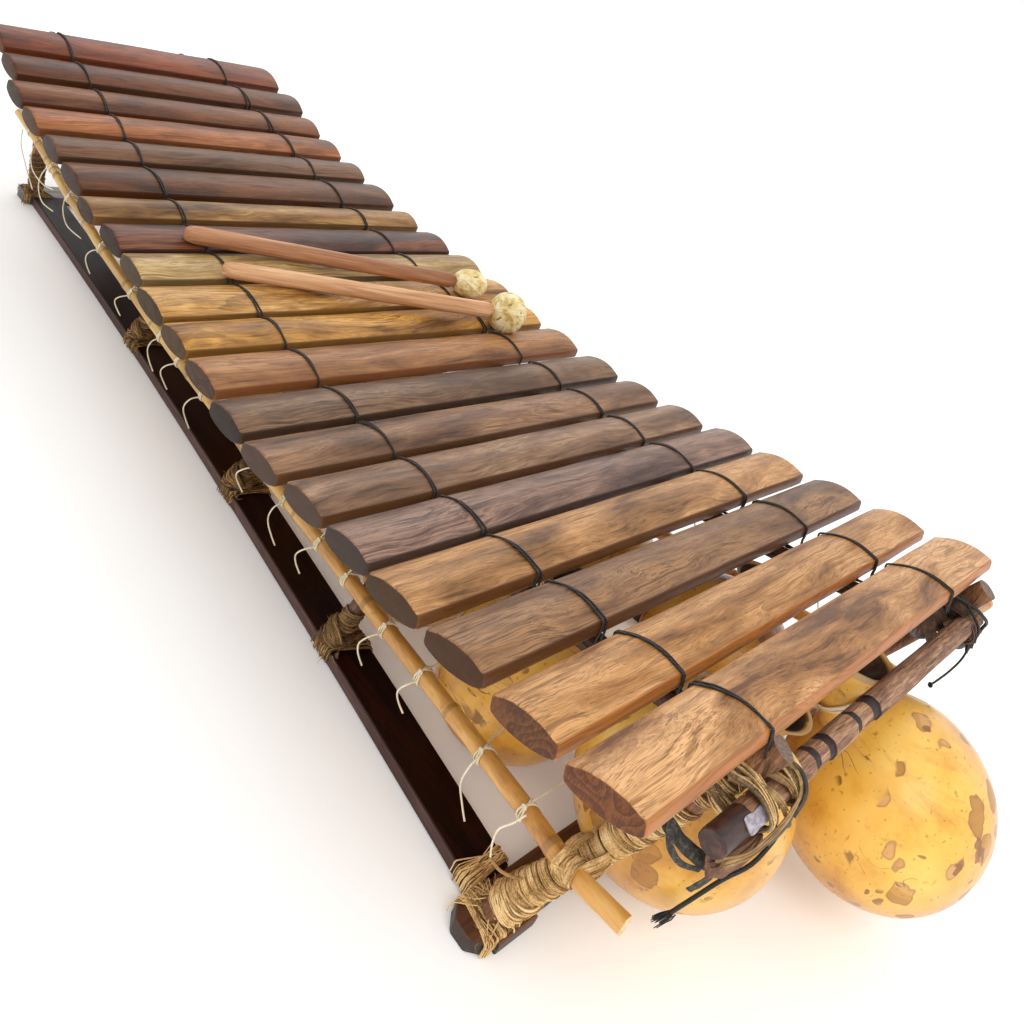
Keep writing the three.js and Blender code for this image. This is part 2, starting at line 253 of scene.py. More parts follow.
    def obj(self, name, mats, body, angle=40, replaces=(), ride=True):
        me = bpy.data.meshes.new(name)
        me.from_pydata([P(*v) for v in self.v], [], self.f)
        for mt in mats:
            me.materials.append(mt)
        me.polygons.foreach_set("material_index", self.m)
        me.polygons.foreach_set("use_smooth", [True] * len(self.f))
        at = me.attributes.new("zone_mask", "FLOAT", "POINT")
        at.data.foreach_set("value", self.w)
        me.update()
        me.set_sharp_from_angle(angle=math.radians(angle))
        o = bpy.data.objects.new(name, me)
        bpy.context.scene.collection.objects.link(o)
        if ride:
            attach(o, body)
            if replaces:
                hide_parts(*replaces)
        return o


# ------------------------------------------------------------------ materials
def lin(h):
    c = [int(h[i:i + 2], 16) / 255 for i in (0, 2, 4)]
    return tuple([x / 12.92 if x <= 0.04045 else ((x + 0.055) / 1.055) ** 2.4 for x in c] + [1.0])


class Mat:
    def __init__(self, name, rough=0.5, coat=0.0, spec=0.5):
        self.m = bpy.data.materials.new(name)
        self.m.use_nodes = True
        self.t = self.m.node_tree
        self.t.nodes.clear()
        self.out = self.t.nodes.new("ShaderNodeOutputMaterial")
        self.b = self.t.nodes.new("ShaderNodeBsdfPrincipled")
        self.t.links.new(self.b.outputs[0], self.out.inputs[0])
        self.b.inputs["Roughness"].default_value = rough
        self.b.inputs["Coat Weight"].default_value = coat
        self.b.inputs["Coat Roughness"].default_value = 0.2
        self.b.inputs["Specular IOR Level"].default_value = spec
        self.tc = self.t.nodes.new("ShaderNodeTexCoord")

    def set(self, sock, v):
        if isinstance(v, bpy.types.NodeSocket):
            self.t.links.new(v, sock)
        else:
            sock.default_value = v

    def map(self, scale=(1, 1, 1), loc=(0, 0, 0), rot=(0, 0, 0), vec=None):
        n = self.t.nodes.new("ShaderNodeMapping")
        n.inputs["Location"].default_value = loc
        n.inputs["Rotation"].default_value = rot
        n.inputs["Scale"].default_value = scale
        self.t.links.new(vec if vec is not None else self.tc.outputs["Object"], n.inputs["Vector"])
        return n.outputs[0]

    def noise(self, vec, scale=1.0, detail=4.0, rough=0.55, dist=0.0, color=False):
        n = self.t.nodes.new("ShaderNodeTexNoise")
        self.t.links.new(vec, n.inputs["Vector"])
        n.inputs["Scale"].default_value = scale
        n.inputs["Detail"].default_value = detail
        n.inputs["Roughness"].default_value = rough
        n.inputs["Distortion"].default_value = dist
        return n.outputs["Color" if color else "Fac"]

    def voro(self, vec, scale=1.0, feature="F1"):
        n = self.t.nodes.new("ShaderNodeTexVoronoi")
        n.feature = feature
        self.t.links.new(vec, n.inputs["Vector"])
        n.inputs["Scale"].default_value = scale
        return n.outputs["Distance"]

    def wave(self, vec, scale, dist, detail=2.0, dscale=1.0, direction="Y", kind="BANDS", profile="SIN"):
        n = self.t.nodes.new("ShaderNodeTexWave")
        n.wave_type = kind
        if kind == "BANDS":
            n.bands_direction = direction
        else:
            n.rings_direction = direction
        n.wave_profile = profile
        self.t.links.new(vec, n.inputs["Vector"])
        n.inputs["Scale"].default_value = scale
        n.inputs["Distortion"].default_value = dist
        n.inputs["Detail"].default_value = detail
        n.inputs["Detail Scale"].default_value = dscale
        return n.outputs["Fac"]

    def ramp(self, fac, stops, mode="LINEAR"):
        n = self.t.nodes.new("ShaderNodeValToRGB")
        n.color_ramp.interpolation = mode
        e = n.color_ramp.elements
        while len(e) < len(stops):
            e.new(0.5)
        for i, (pos, col) in enumerate(stops):
            e[i].position = pos
            e[i].color = lin(col) if isinstance(col, str) else (col, col, col, 1)
        self.t.links.new(fac, n.inputs[0])
        return n.outputs[0]

    def mix(self, fac, a, b, mode="MIX"):
        n = self.t.nodes.new("ShaderNodeMix")
        n.data_type = "RGBA"
        n.blend_type = mode
        self.set(n.inputs[0], fac)
        self.set(n.inputs[6], lin(a) if isinstance(a, str) else a)
        self.set(n.inputs[7], lin(b) if isinstance(b, str) else b)
        return n.outputs[2]

    def math(self, op, a, b=0.0, clamp=False):
        n = self.t.nodes.new("ShaderNodeMath")
        n.operation = op
        n.use_clamp = clamp
        self.set(n.inputs[0], a)
        self.set(n.inputs[1], b)
        return n.outputs[0]

    def step(self, v, lo, hi):
        n = self.t.nodes.new("ShaderNodeMapRange")
        n.interpolation_type = "SMOOTHSTEP"
        self.set(n.inputs["Value"], v)
        n.inputs["From Min"].default_value = lo
        n.inputs["From Max"].default_value = hi
        return n.outputs["Result"]

    def normal(self, axis):
        n = self.t.nodes.new("ShaderNodeSeparateXYZ")
        self.t.links.new(self.tc.outputs["Normal"], n.inputs[0])
        return n.outputs[axis]

    def pos(self, axis):
        n = self.t.nodes.new("ShaderNodeSeparateXYZ")
        self.t.links.new(self.tc.outputs["Object"], n.inputs[0])
        return n.outputs[axis]

    def zone_mask(self):
        n = self.t.nodes.new("ShaderNodeAttribute")
        n.attribute_name = "zone_mask"
        return n.outputs["Fac"]

    def color(self, c):
        self.set(self.b.inputs["Base Color"], c)

    def rough(self, v):
        self.set(self.b.inputs["Roughness"], v)

    def bump(self, h, strength=0.3, dist=0.001):
        n = self.t.nodes.new("ShaderNodeBump")
        n.inputs["Strength"].default_value = strength
        n.inputs["Distance"].default_value = dist
        self.t.links.new(h, n.inputs["Height"])
        self.t.links.new(n.outputs[0], self.b.inputs["Normal"])


def bar_wood(name, dark, mid, light, side, end, seed, figure=0.5):
    m = Mat(name, 0.4, coat=0.04, spec=0.22)
    m.b.inputs["Coat Roughness"].default_value = 0.3
    o = (seed * 1.37, seed * 0.731, seed * 2.11)
    # the grain wanders: cross coordinates are pushed by slow noise
    w1 = m.math("SUBTRACT", m.noise(m.map((4.0, 10, 10), o), 1.0, 3, 0.5), 0.5)
    comb = m.t.nodes.new("ShaderNodeCombineXYZ")
    m.t.links.new(w1, comb.inputs[1])
    m.t.links.new(w1, comb.inputs[2])
    off = m.t.nodes.new("ShaderNodeVectorMath")
    off.operation = "MULTIPLY_ADD"
    m.t.links.new(comb.outputs[0], off.inputs[0])
    amp = 0.035 + 0.035 * figure
    off.inputs[1].default_value = (0, amp, amp * 0.6)
    m.t.links.new(m.tc.outputs["Object"], off.inputs[2])
    v = off.outputs[0]
    cloud = m.noise(m.map((5.5, 26, 26), o, vec=v), 1.0, 4, 0.6, 0.5)
    cloud2 = m.noise(m.map((16, 60, 60), (o[1], o[0], 3), vec=v), 1.0, 4, 0.65, 0.3)
    field = m.noise(m.map((1.7, 30, 30), o, vec=v), 1.0, 1, 0.5)
    ring = m.math("POWER", m.math("FRACT", m.math("MULTIPLY", field, 13.0)), 3.0)
    streak = m.noise(m.map((8, 330, 330), o, vec=v), 1.0, 4, 0.65, 0.2)
    fine = m.noise(m.map((22, 1100, 1100), o, vec=v), 1.0, 3, 0.6)
    pores = m.step(m.noise(m.map((55, 1500, 1500), o, vec=v), 1.0, 1, 0.5), 0.60, 0.70)
    a = m.math("ADD", m.math("MULTIPLY", cloud, 0.50), m.math("MULTIPLY", cloud2, 0.14))
    a = m.math("ADD", a, m.math("MULTIPLY", streak, 0.20))
    a = m.math("ADD", a, m.math("MULTIPLY", fine, 0.16))
    c = m.ramp(a, [(0.41, dark), (0.475, mid), (0.535, light), (0.62, mid)])
    gate = m.step(m.noise(m.map((4, 18, 18), (o[2], 1, 2)), 1.0, 2, 0.5), 0.38, 0.62)
    c = m.mix(m.math("MULTIPLY", m.math("MULTIPLY", ring, gate), 0.26 + 0.22 * figure), c, dark)
    c = m.mix(m.math("MULTIPLY", m.step(streak, 0.51, 0.60), 0.45), c, dark)
    c = m.mix(m.math("MULTIPLY", m.step(fine, 0.51, 0.60), 0.42), c, dark)
    c = m.mix(m.math("MULTIPLY", pores, 0.5), c, dark)
    # painted sheen: the colour lightens a little towards the right ends of the bars
    painted_sheen_right = m.step(m.pos(0), -0.05, 0.28)
    c = m.mix(m.math("MULTIPLY", painted_sheen_right, 0.05), c, "c8a184")
    w = m.zone_mask()                       # 1 on the long sides and their edges
    sc = m.mix(m.math("MULTIPLY", m.step(streak, 0.42, 0.62), 0.45), side, dark)
    c = m.mix(m.math("MULTIPLY", m.step(w, 0.5, 0.9), 0.9), c, sc)
    nx = m.math("ABSOLUTE", m.normal(0))
    isend = m.step(nx, 0.55, 0.85)
    er = m.math("FRACT", m.math("MULTIPLY", m.noise(m.map((1, 22, 30), (0, seed * 0.13, 0.05)), 1.0, 1, 0.4), 14.0))
    eg = m.math("ADD", m.math("MULTIPLY", er, 0.25), m.math("MULTIPLY", m.noise(m.map((300, 900, 300), o), 1, 3, 0.6), 0.75))
    ec = m.mix(m.step(eg, 0.35, 0.75), end, m.mix(0.35, end, side))
    c = m.mix(isend, c, ec)
    m.color(c)
    m.rough(m.math("ADD", m.math("MULTIPLY", streak, 0.25), m.math("ADD", 0.27, m.math("MULTIPLY", isend, 0.25))))
    h = m.math("ADD", m.math("MULTIPLY", fine, 0.6), m.math("MULTIPLY", streak, 0.8))
    h = m.math("SUBTRACT", h, m.math("ADD", m.math("MULTIPLY", pores, 0.6), m.math("MULTIPLY", ring, 0.25)))
    m.bump(h, 0.35, 0.0006)
    return m.m


def stick_wood(name, dark, mid, light, end=None, axis=(1, 1, 1), rough=0.7, bump=0.5, seed=0.0, coat=0.0):
    """bark or weathered stick: streaks along the given scale's small axis"""
    m = Mat(name, rough, coat)
    o = (seed, seed * 1.7, seed * 0.6)
    big = m.noise(m.map(tuple(30 * a for a in axis), o), 1.0, 4, 0.6, 0.4)
    fib = m.noise(m.map(tuple(260 * a for a in axis), o), 1.0, 4, 0.65, 0.2)
    fin = m.noise(m.map(tuple(900 * a for a in axis), o), 1.0, 3, 0.65, 0.1)
    a = m.math("ADD", m.math("MULTIPLY", big, 0.28), m.math("MULTIPLY", fib, 0.40))
    a = m.math("ADD", a, m.math("MULTIPLY", fin, 0.32))
    c = m.ramp(a, [(0.38, dark), (0.5, mid), (0.62, light)])
    crack = m.step(m.noise(m.map(tuple(150 * a for a in axis), (seed + 3, 1, 2)), 1.0, 2, 0.5), 0.60, 0.66)
    c = m.mix(m.math("MULTIPLY", crack, 0.6), c, dark)
    m.color(c)
    m.rough(m.math("ADD", m.math("MULTIPLY", fib, 0.3), rough - 0.15))
    m.bump(m.math("SUBTRACT", m.math("ADD", m.math("MULTIPLY", big, 0.8), fib), crack), bump, 0.0012)
    return m.m


def gourd_skin(name, seed):
    m = Mat(name, 0.3, coat=0.26, spec=0.4)
    m.b.inputs["Coat Roughness"].default_value = 0.22
    o = (seed * 1.9, seed * 0.83, seed * 1.31)
    big = m.noise(m.map((7, 7, 7), o), 1.0, 3, 0.5)
    med = m.noise(m.map((24, 24, 24), o), 1.0, 5, 0.6)
    c = m.ramp(m.math("ADD", m.math("MULTIPLY", big, 0.6), m.math("MULTIPLY", med, 0.4)),
               [(0.36, "ac6d24"), (0.44, "d79a3a"), (0.52, "f2bb50"), (0.63, "fccd66")])
    # soft dirty smears and paler rubbed areas
    smear = m.step(m.noise(m.map((9, 9, 26), (seed, 4, seed)), 1.0, 6, 0.72, 1.0), 0.52, 0.74)
    c = m.mix(m.math("MULTIPLY", smear, 0.55), c, "b0722c")
    rub = m.step(m.noise(m.map((11, 11, 11), (seed + 2, 8, seed)), 1.0, 6, 0.75, 0.6), 0.60, 0.72)
    c = m.mix(m.math("MULTIPLY", rub, 0.55), c, "d9ab86")
    # crisp leaf shaped stains
    warp = m.noise(m.map((48, 48, 48), o), 1.0, 2, 0.55, color=True)
    mv = m.t.nodes.new("ShaderNodeVectorMath")
    mv.operation = "MULTIPLY_ADD"
    m.t.links.new(warp, mv.inputs[0])
    mv.inputs[1].default_value = (0.016, 0.016, 0.020)
    m.t.links.new(m.tc.outputs["Object"], mv.inputs[2])
    d = m.voro(m.map((38, 38, 31), o, vec=mv.outputs[0]), 1.0)
    keep = m.step(m.noise(m.map((10, 10, 10), (seed + 7, 2, 5)), 1.0, 2, 0.5), 0.44, 0.46)
    leaf = m.math("MULTIPLY", m.math("SUBTRACT", 1.0, m.step(d, 0.345, 0.362)), keep)
    rim = m.math("MULTIPLY", m.math("SUBTRACT", m.step(d, 0.29, 0.345), m.step(d, 0.355, 0.372)), keep)
    tone = m.noise(m.map((14, 14, 14), (seed, 9, 1)), 1.0, 1, 0.5)
    inner = m.mix(m.math("MULTIPLY", med, 0.5), m.ramp(tone, [(0.42, "a46c2a"), (0.50, "c48a34"), (0.56, "dba46c")], "CONSTANT"), "94602a")
    c = m.mix(m.math("MULTIPLY", leaf, 0.74), c, inner)
    c = m.mix(m.math("MULTIPLY", rim, 0.35), c, "7c4d22")
    d2 = m.voro(m.map((72, 72, 50), (seed + 1, 2, 3), vec=mv.outputs[0]), 1.0)
    keep2 = m.step(m.noise(m.map((16, 16, 16), (seed + 3, 7, 5)), 1.0, 2, 0.5), 0.50, 0.53)
    dot = m.math("MULTIPLY", m.math("SUBTRACT", 1.0, m.step(d2, 0.27, 0.31)), keep2)
    c = m.mix(m.math("MULTIPLY", dot, 0.85), c, "80501f")
    scr = m.math("ABSOLUTE", m.math("SUBTRACT", m.noise(m.map((20, 20, 46), (seed + 5, 1, 8)), 1.0, 2, 0.4, 1.5), 0.5))
    scrk = m.step(m.noise(m.map((13, 13, 13), (1, seed + 2, 8)), 1.0, 1, 0.4), 0.53, 0.56)
    scr = m.math("MULTIPLY", m.math("SUBTRACT", 1.0, m.step(scr, 0.003, 0.007)), scrk)
    c = m.mix(m.math("MULTIPLY", scr, 0.7), c, "74481e")
    sp = m.step(m.noise(m.map((330, 330, 330), o), 1.0, 1, 0.5), 0.66, 0.74)
    c = m.mix(m.math("MULTIPLY", sp, 0.45), c, "7c4f22")
    w = m.zone_mask()                       # 1 inside, 0.5 on the cut lip
    inside = m.step(w, 0.7, 0.95)
    c = m.mix(inside, c, m.ramp(m.noise(m.map((90, 90, 30), o), 1.0, 4, 0.6), [(0.35, "1c110a"), (0.65, "4a321c")]))
    lip = m.math("MULTIPLY", m.step(w, 0.35, 0.45), m.math("SUBTRACT", 1.0, m.step(w, 0.62, 0.78)))
    c = m.mix(lip, c, "c9ab7c")
    # painted shade: the skin turns orange-brown where it faces away from the view, for the shaded rims
    lw = m.t.nodes.new("ShaderNodeLayerWeight")
    lw.inputs["Blend"].default_value = 0.5
    painted_rim_shade = m.math("MULTIPLY", m.math("POWER", lw.outputs["Facing"], 2.2), 0.55)
    c = m.mix(m.math("MULTIPLY", painted_rim_shade, m.math("SUBTRACT", 1.0, inside)), c, "a8621c")
    m.color(c)
    m.rough(m.math("ADD", m.math("ADD", m.math("MULTIPLY", med, 0.18), m.math("MULTIPLY", leaf, 0.14)), m.math("ADD", m.math("MULTIPLY", inside, 0.5), 0.22)))
    h = m.math("SUBTRACT", m.math("MULTIPLY", med, 0.6), m.math("ADD", m.math("MULTIPLY", leaf, 0.25), m.math("MULTIPLY", scr, 0.6)))
    m.bump(h, 0.28, 0.0014)
    return m.m


def twine_mat(name, a, b, c_, seed=0.0, strands=(900, 900, 900)):
    m = Mat(name, 0.85, spec=0.25)
    big = m.noise(m.map((60, 60, 60), (seed, 1, 2)), 1.0, 3, 0.6)
    fib = m.noise(m.map(strands, (seed, 3, 2)), 1.0, 3, 0.7, 0.6)
    f = m.math("ADD", m.math("MULTIPLY", big, 0.5), m.math("MULTIPLY", fib, 0.5))
    c = m.ramp(f, [(0.34, a), (0.5, b), (0.66, c_)])
    # the mask attribute runs from 0 in the middle of a band to 1 at its edges; the edges are darkened as painted shade
    # in the grooves between turns
    c = m.mix(m.math("MULTIPLY", m.step(m.zone_mask(), 0.55, 1.0), 0.72), c, a)
    m.color(c)
    m.bump(fib, 0.7, 0.0006)
    return m.m


def cord_mat(name, a, b, seed=0.0, rough=0.55):
    m = Mat(name, rough, spec=0.35)
    braid = m.wave(m.map((1, 1, 1), (seed, 0, 0), (0.5, 0.6, 0.9)), 260.0, 1.0, 1, 1.0, "DIAGONAL")
    n = m.noise(m.map((300, 300, 300)), 1.0, 2, 0.5)
    f = m.math("ADD", m.math("MULTIPLY", braid, 0.5), m.math("MULTIPLY", n, 0.5))
    m.color(m.ramp(f, [(0.3, a), (0.75, b)]))
    m.bump(f, 0.5, 0.0004)
    return m.m


def board_wood(name):
    m = Mat(name, 0.42, coat=0.0, spec=0.12)
    s1 = m.noise(m.map((60, 3.0, 60)), 1.0, 4, 0.6, 0.3)
    s2 = m.noise(m.map((420, 16, 420)), 1.0, 3, 0.6)
    a = m.math("ADD", m.math("MULTIPLY", s1, 0.6), m.math("MULTIPLY", s2, 0.4))
    # top ramp: the dark stain, made darker still as painted shade from the bars above
    top = m.ramp(a, [(0.34, "0c0403"), (0.5, "1a0705"), (0.62, "2c0d08"), (0.78, "140604")])
    scuff = m.step(m.noise(m.map((30, 12, 30), (4, 2, 1)), 1.0, 6, 0.75, 0.5), 0.56, 0.72)
    top = m.mix(m.math("MULTIPLY", scuff, 0.10), top, "6a3a2c")
    # side ramp: lighter, painted light on the vertical faces from the left
    sd = m.ramp(a, [(0.3, "35221d"), (0.5, "503833"), (0.7, "6c544e")])
    up = m.step(m.math("ABSOLUTE", m.normal(2)), 0.5, 0.8)
    c = m.mix(up, sd, top)
    m.color(c)
    m.rough(m.math("ADD", m.math("MULTIPLY", s2, 0.25), m.math("ADD", 0.30, m.math("MULTIPLY", scuff, 0.2))))
    m.bump(m.math("ADD", s2, m.math("MULTIPLY", s1, 0.6)), 0.3, 0.0007)
    return m.m


def block_wood(name, dark, mid, light, side):
    m = Mat(name, 0.5, coat=0.08)
    s1 = m.noise(m.map((4, 60, 60)), 1.0, 4, 0.6, 0.3)
    s2 = m.noise(m.map((20, 380, 380)), 1.0, 3, 0.6)
    a = m.math("ADD", m.math("MULTIPLY", s1, 0.6), m.math("MULTIPLY", s2, 0.4))
    c = m.ramp(a, [(0.34, dark), (0.5, mid), (0.68, light)])
    up = m.step(m.math("ABSOLUTE", m.normal(2)), 0.5, 0.8)
    m.color(m.mix(up, m.mix(a, side, dark), c))
    m.bump(m.math("ADD", s2, s1), 0.4, 0.0008)
    return m.m


def cane_mat():
    m = Mat("cane_skin", 0.32, coat=0.25)
    s1 = m.noise(m.map((300, 9, 300)), 1.0, 3, 0.6)
    s2 = m.noise(m.map((30, 12, 30), (3, 1, 2)), 1.0, 5, 0.65)
    a = m.math("ADD", m.math("MULTIPLY", s1, 0.45), m.math("MULTIPLY", s2, 0.55))
    near = m.step(m.pos(1), -0.40, 0.15)
    g1 = m.ramp(a, [(0.34, "ab6f2c"), (0.52, "d49a4a"), (0.70, "e6b96e")])
    g2 = m.ramp(a, [(0.34, "a8783a"), (0.52, "d2a758"), (0.70, "ecca84")])
    c = m.mix(near, g1, g2)
    w = m.zone_mask()
    c = m.mix(m.math("MULTIPLY", m.step(w, 0.5, 0.95), 0.55), c, "7e5a2c")
    spots = m.step(m.noise(m.map((160, 60, 160)), 1.0, 2, 0.5), 0.66, 0.74)
    c = m.mix(m.math("MULTIPLY", spots, 0.4), c, "8a5d2a")
    m.color(c)
    m.bump(m.math("ADD", s1, m.math("MULTIPLY", s2, 0.4)), 0.2, 0.0005)
    return m.m


def plain_noise(name, stops, scale=120, rough=0.6, bump=0.3, aniso=(1, 1, 1), coat=0.0, dist=0.0008):
    m = Mat(name, rough, coat)
    n = m.noise(m.map(tuple(scale * a for a in aniso)), 1.0, 5, 0.65, 0.3)
    m.color(m.ramp(n, stops))
    m.bump(n, bump, dist)
    return m.m


# colours per bar: dark, mid, light, side, end, figure
TONES = {
    1: ("36110a", "6f2f0a", "91420a", "552304", "5f402b"),
    2: ("2d150a", "54290e", "713d17", "3d1e09", "4d3a2e"),
    3: ("3b1b0a", "683815", "89501c", "4b260d", "40362e"),
    4: ("4e280e", "91552d", "b97343", "6a3c1c", "4d3a2d"),
    5: ("2f1c0d", "583921", "795338", "3f2717", "483c35"),
    6: ("2f180a", "5c310f", "7c4a1c", "442309", "41342d"),
    7: ("452a17", "885f32", "b78c50", "64421e", "392d24"),
    8: ("291611", "513127", "875132", "3c221a", "352721"),
    9: ("53391b", "a6844f", "ceae75", "684f2c", "46382a"),
    10: ("57300c", "af7b3a", "e2b26c", "73501e", "342a20"),
    11: ("5c3914", "ae7b3d", "e2a954", "704c1d", "463627"),
    12: ("56331e", "94653d", "b88455", "7c4722", "403329"),
    13: ("362318", "624533", "86664a", "382519", "312824"),
    14: ("452d1e", "79563e", "a27a59", "55371f", "4a3a30"),
    15: ("4b3525", "846249", "ac8768", "543014", "4a3b31"),
    16: ("3d2925", "6e5449", "9d7b68", "3f2e26", "3f322b"),
    17: ("5f3c1c", "a77849", "d9a36b", "562f12", "422f1f"),
    18: ("3f2718", "78553b", "a27851", "522d13", "442b19"),
    19: ("603a19", "aa753e", "d5a068", "a9682f", "513323"),
    20: ("664021", "b6814d", "e6b27b", "b5713a", "5c3624"),
}

M_bed = cord_mat("cord_black", "0c0b0b", "2e2a28")
M_loop = cord_mat("loop_black", "100e0e", "38322f", 2.0, 0.45)
M_rail = stick_wood("rail_bark", "22140e", "4a2f22", "735040", axis=(1, 0.12, 1), seed=1.0)
M_strut = stick_wood("strut_bark", "2a1a12", "53382a", "86644c", axis=(1, 1, 0.12), seed=2.0)
M_leg = stick_wood("leg_bark", "3a2215", "7a4f30", "a9764a", axis=(1, 1, 0.15), seed=3.0)
M_slat = stick_wood("slat_weathered", "3a2217", "8a6248", "c49a76", axis=(0.10, 1, 1), seed=4.0, bump=0.7)
M_slat_dark = stick_wood("slat_cut", "120c0b", "2c1c18", "4a332b", axis=(0.2, 1, 1), seed=5.0)
M_slat_end = plain_noise("slat_end", [(0.3, "1c0d09"), (0.5, "3c1e15"), (0.7, "5e3828")], 200, 0.5, 0.5, (0.3, 1, 1), 0.1)
M_lav = plain_noise("slat_patch", [(0.35, "786e74"), (0.5, "9f969f"), (0.68, "c4bcc8")], 260, 0.4, 0.4, (0.5, 1, 1), 0.1)
M_endgrain = plain_noise("stick_end", [(0.3, "4a3a30"), (0.5, "6f5a4b"), (0.7, "8d7765")], 500, 0.7, 0.5)
M_pale = plain_noise("pale_wood", [(0.3, "a87a5c"), (0.5, "c79b78"), (0.7, "dcb898")], 180, 0.6, 0.4, (1, 1, 0.3))
M_board = board_wood("board_red")
M_block = block_wood("block_red", "331a0e", "5c351b", "87512a", "33241b")
M_block2 = block_wood("block_far", "4a4542", "7c7672", "a29c97", "5a5450")
M_cane = cane_mat()
M_cane_end = plain_noise("cane_cut", [(0.3, "c9a073"), (0.5, "e4c49a"), (0.7, "f2dcb8")], 400, 0.7, 0.4)
M_twine = twine_mat("twine_tan", "84602f", "e6bd80", "ffecb8")
M_twine_d = twine_mat("twine_brown", "503820", "a07a4a", "d0a870", 3.0)
M_fibre = twine_mat("fibre_grey", "4b3a2a", "8a7356", "c2ab84", 5.0)
M_string = twine_mat("string_white", "d2bf92", "f2e6c6", "fffaf0", 1.0, (1400, 1400, 1400))
M_leather = plain_noise("leather_dark", [(0.3, "17110d"), (0.5, "33271d"), (0.7, "5c4a36")], 160, 0.55, 0.6, (1, 1, 1), 0.05)
M_leather_b = plain_noise("leather_brown", [(0.3, "24160e"), (0.5, "4b3321"), (0.7, "7b5c3e")], 140, 0.6, 0.6)
M_greycloth = plain_noise("cloth_grey", [(0.3, "1f1d1a"), (0.5, "3d3a34"), (0.7, "6d685c")], 420, 0.8, 0.8)
M_barkstrip = plain_noise("bark_strip", [(0.3, "5c4026"), (0.5, "93703f"), (0.7, "c9a970")], 130, 0.65, 0.6, (0.3, 1, 1))
M_strip = twine_mat("bast_strip", "2e2114", "6b5134", "977850", 7.0, (500, 500, 500))
M_barkdark = plain_noise("bark_dark", [(0.3, "3c2418"), (0.5, "6e4730"), (0.7, "a37a52")], 150, 0.65, 0.6, (0.3, 1, 1))
M_peg = plain_noise("peg_wood", [(0.3, "a06e48"), (0.5, "cf9a70"), (0.7, "e8c09a")], 180, 0.6, 0.4, (1, 1, 0.3))
M_tail = cord_mat("tail_black", "0d0d0c", "33312c", 4.0, 0.5)


# ------------------------------------------------------------------ bars and their loops
def bar_frame(i):
    y0, y1, xl, xr = BARS[i - 1]
    z0, z1 = shoulder(y0), shoulder(y1)
    yc, zc = (y0 + y1) / 2, (z0 + z1) / 2
    w = math.hypot(y1 - y0, z1 - z0)
    mm = (z1 - z0) / (y1 - y0)
    n = math.hypot(1, mm)
    return yc, zc, w, mm, n, xl, xr


def bar_point(fr, x, v, h):
    yc, zc, w, mm, n, xl, xr = fr
    return (x, yc + (v - h * mm) / n, zc + (v * mm + h) / n)


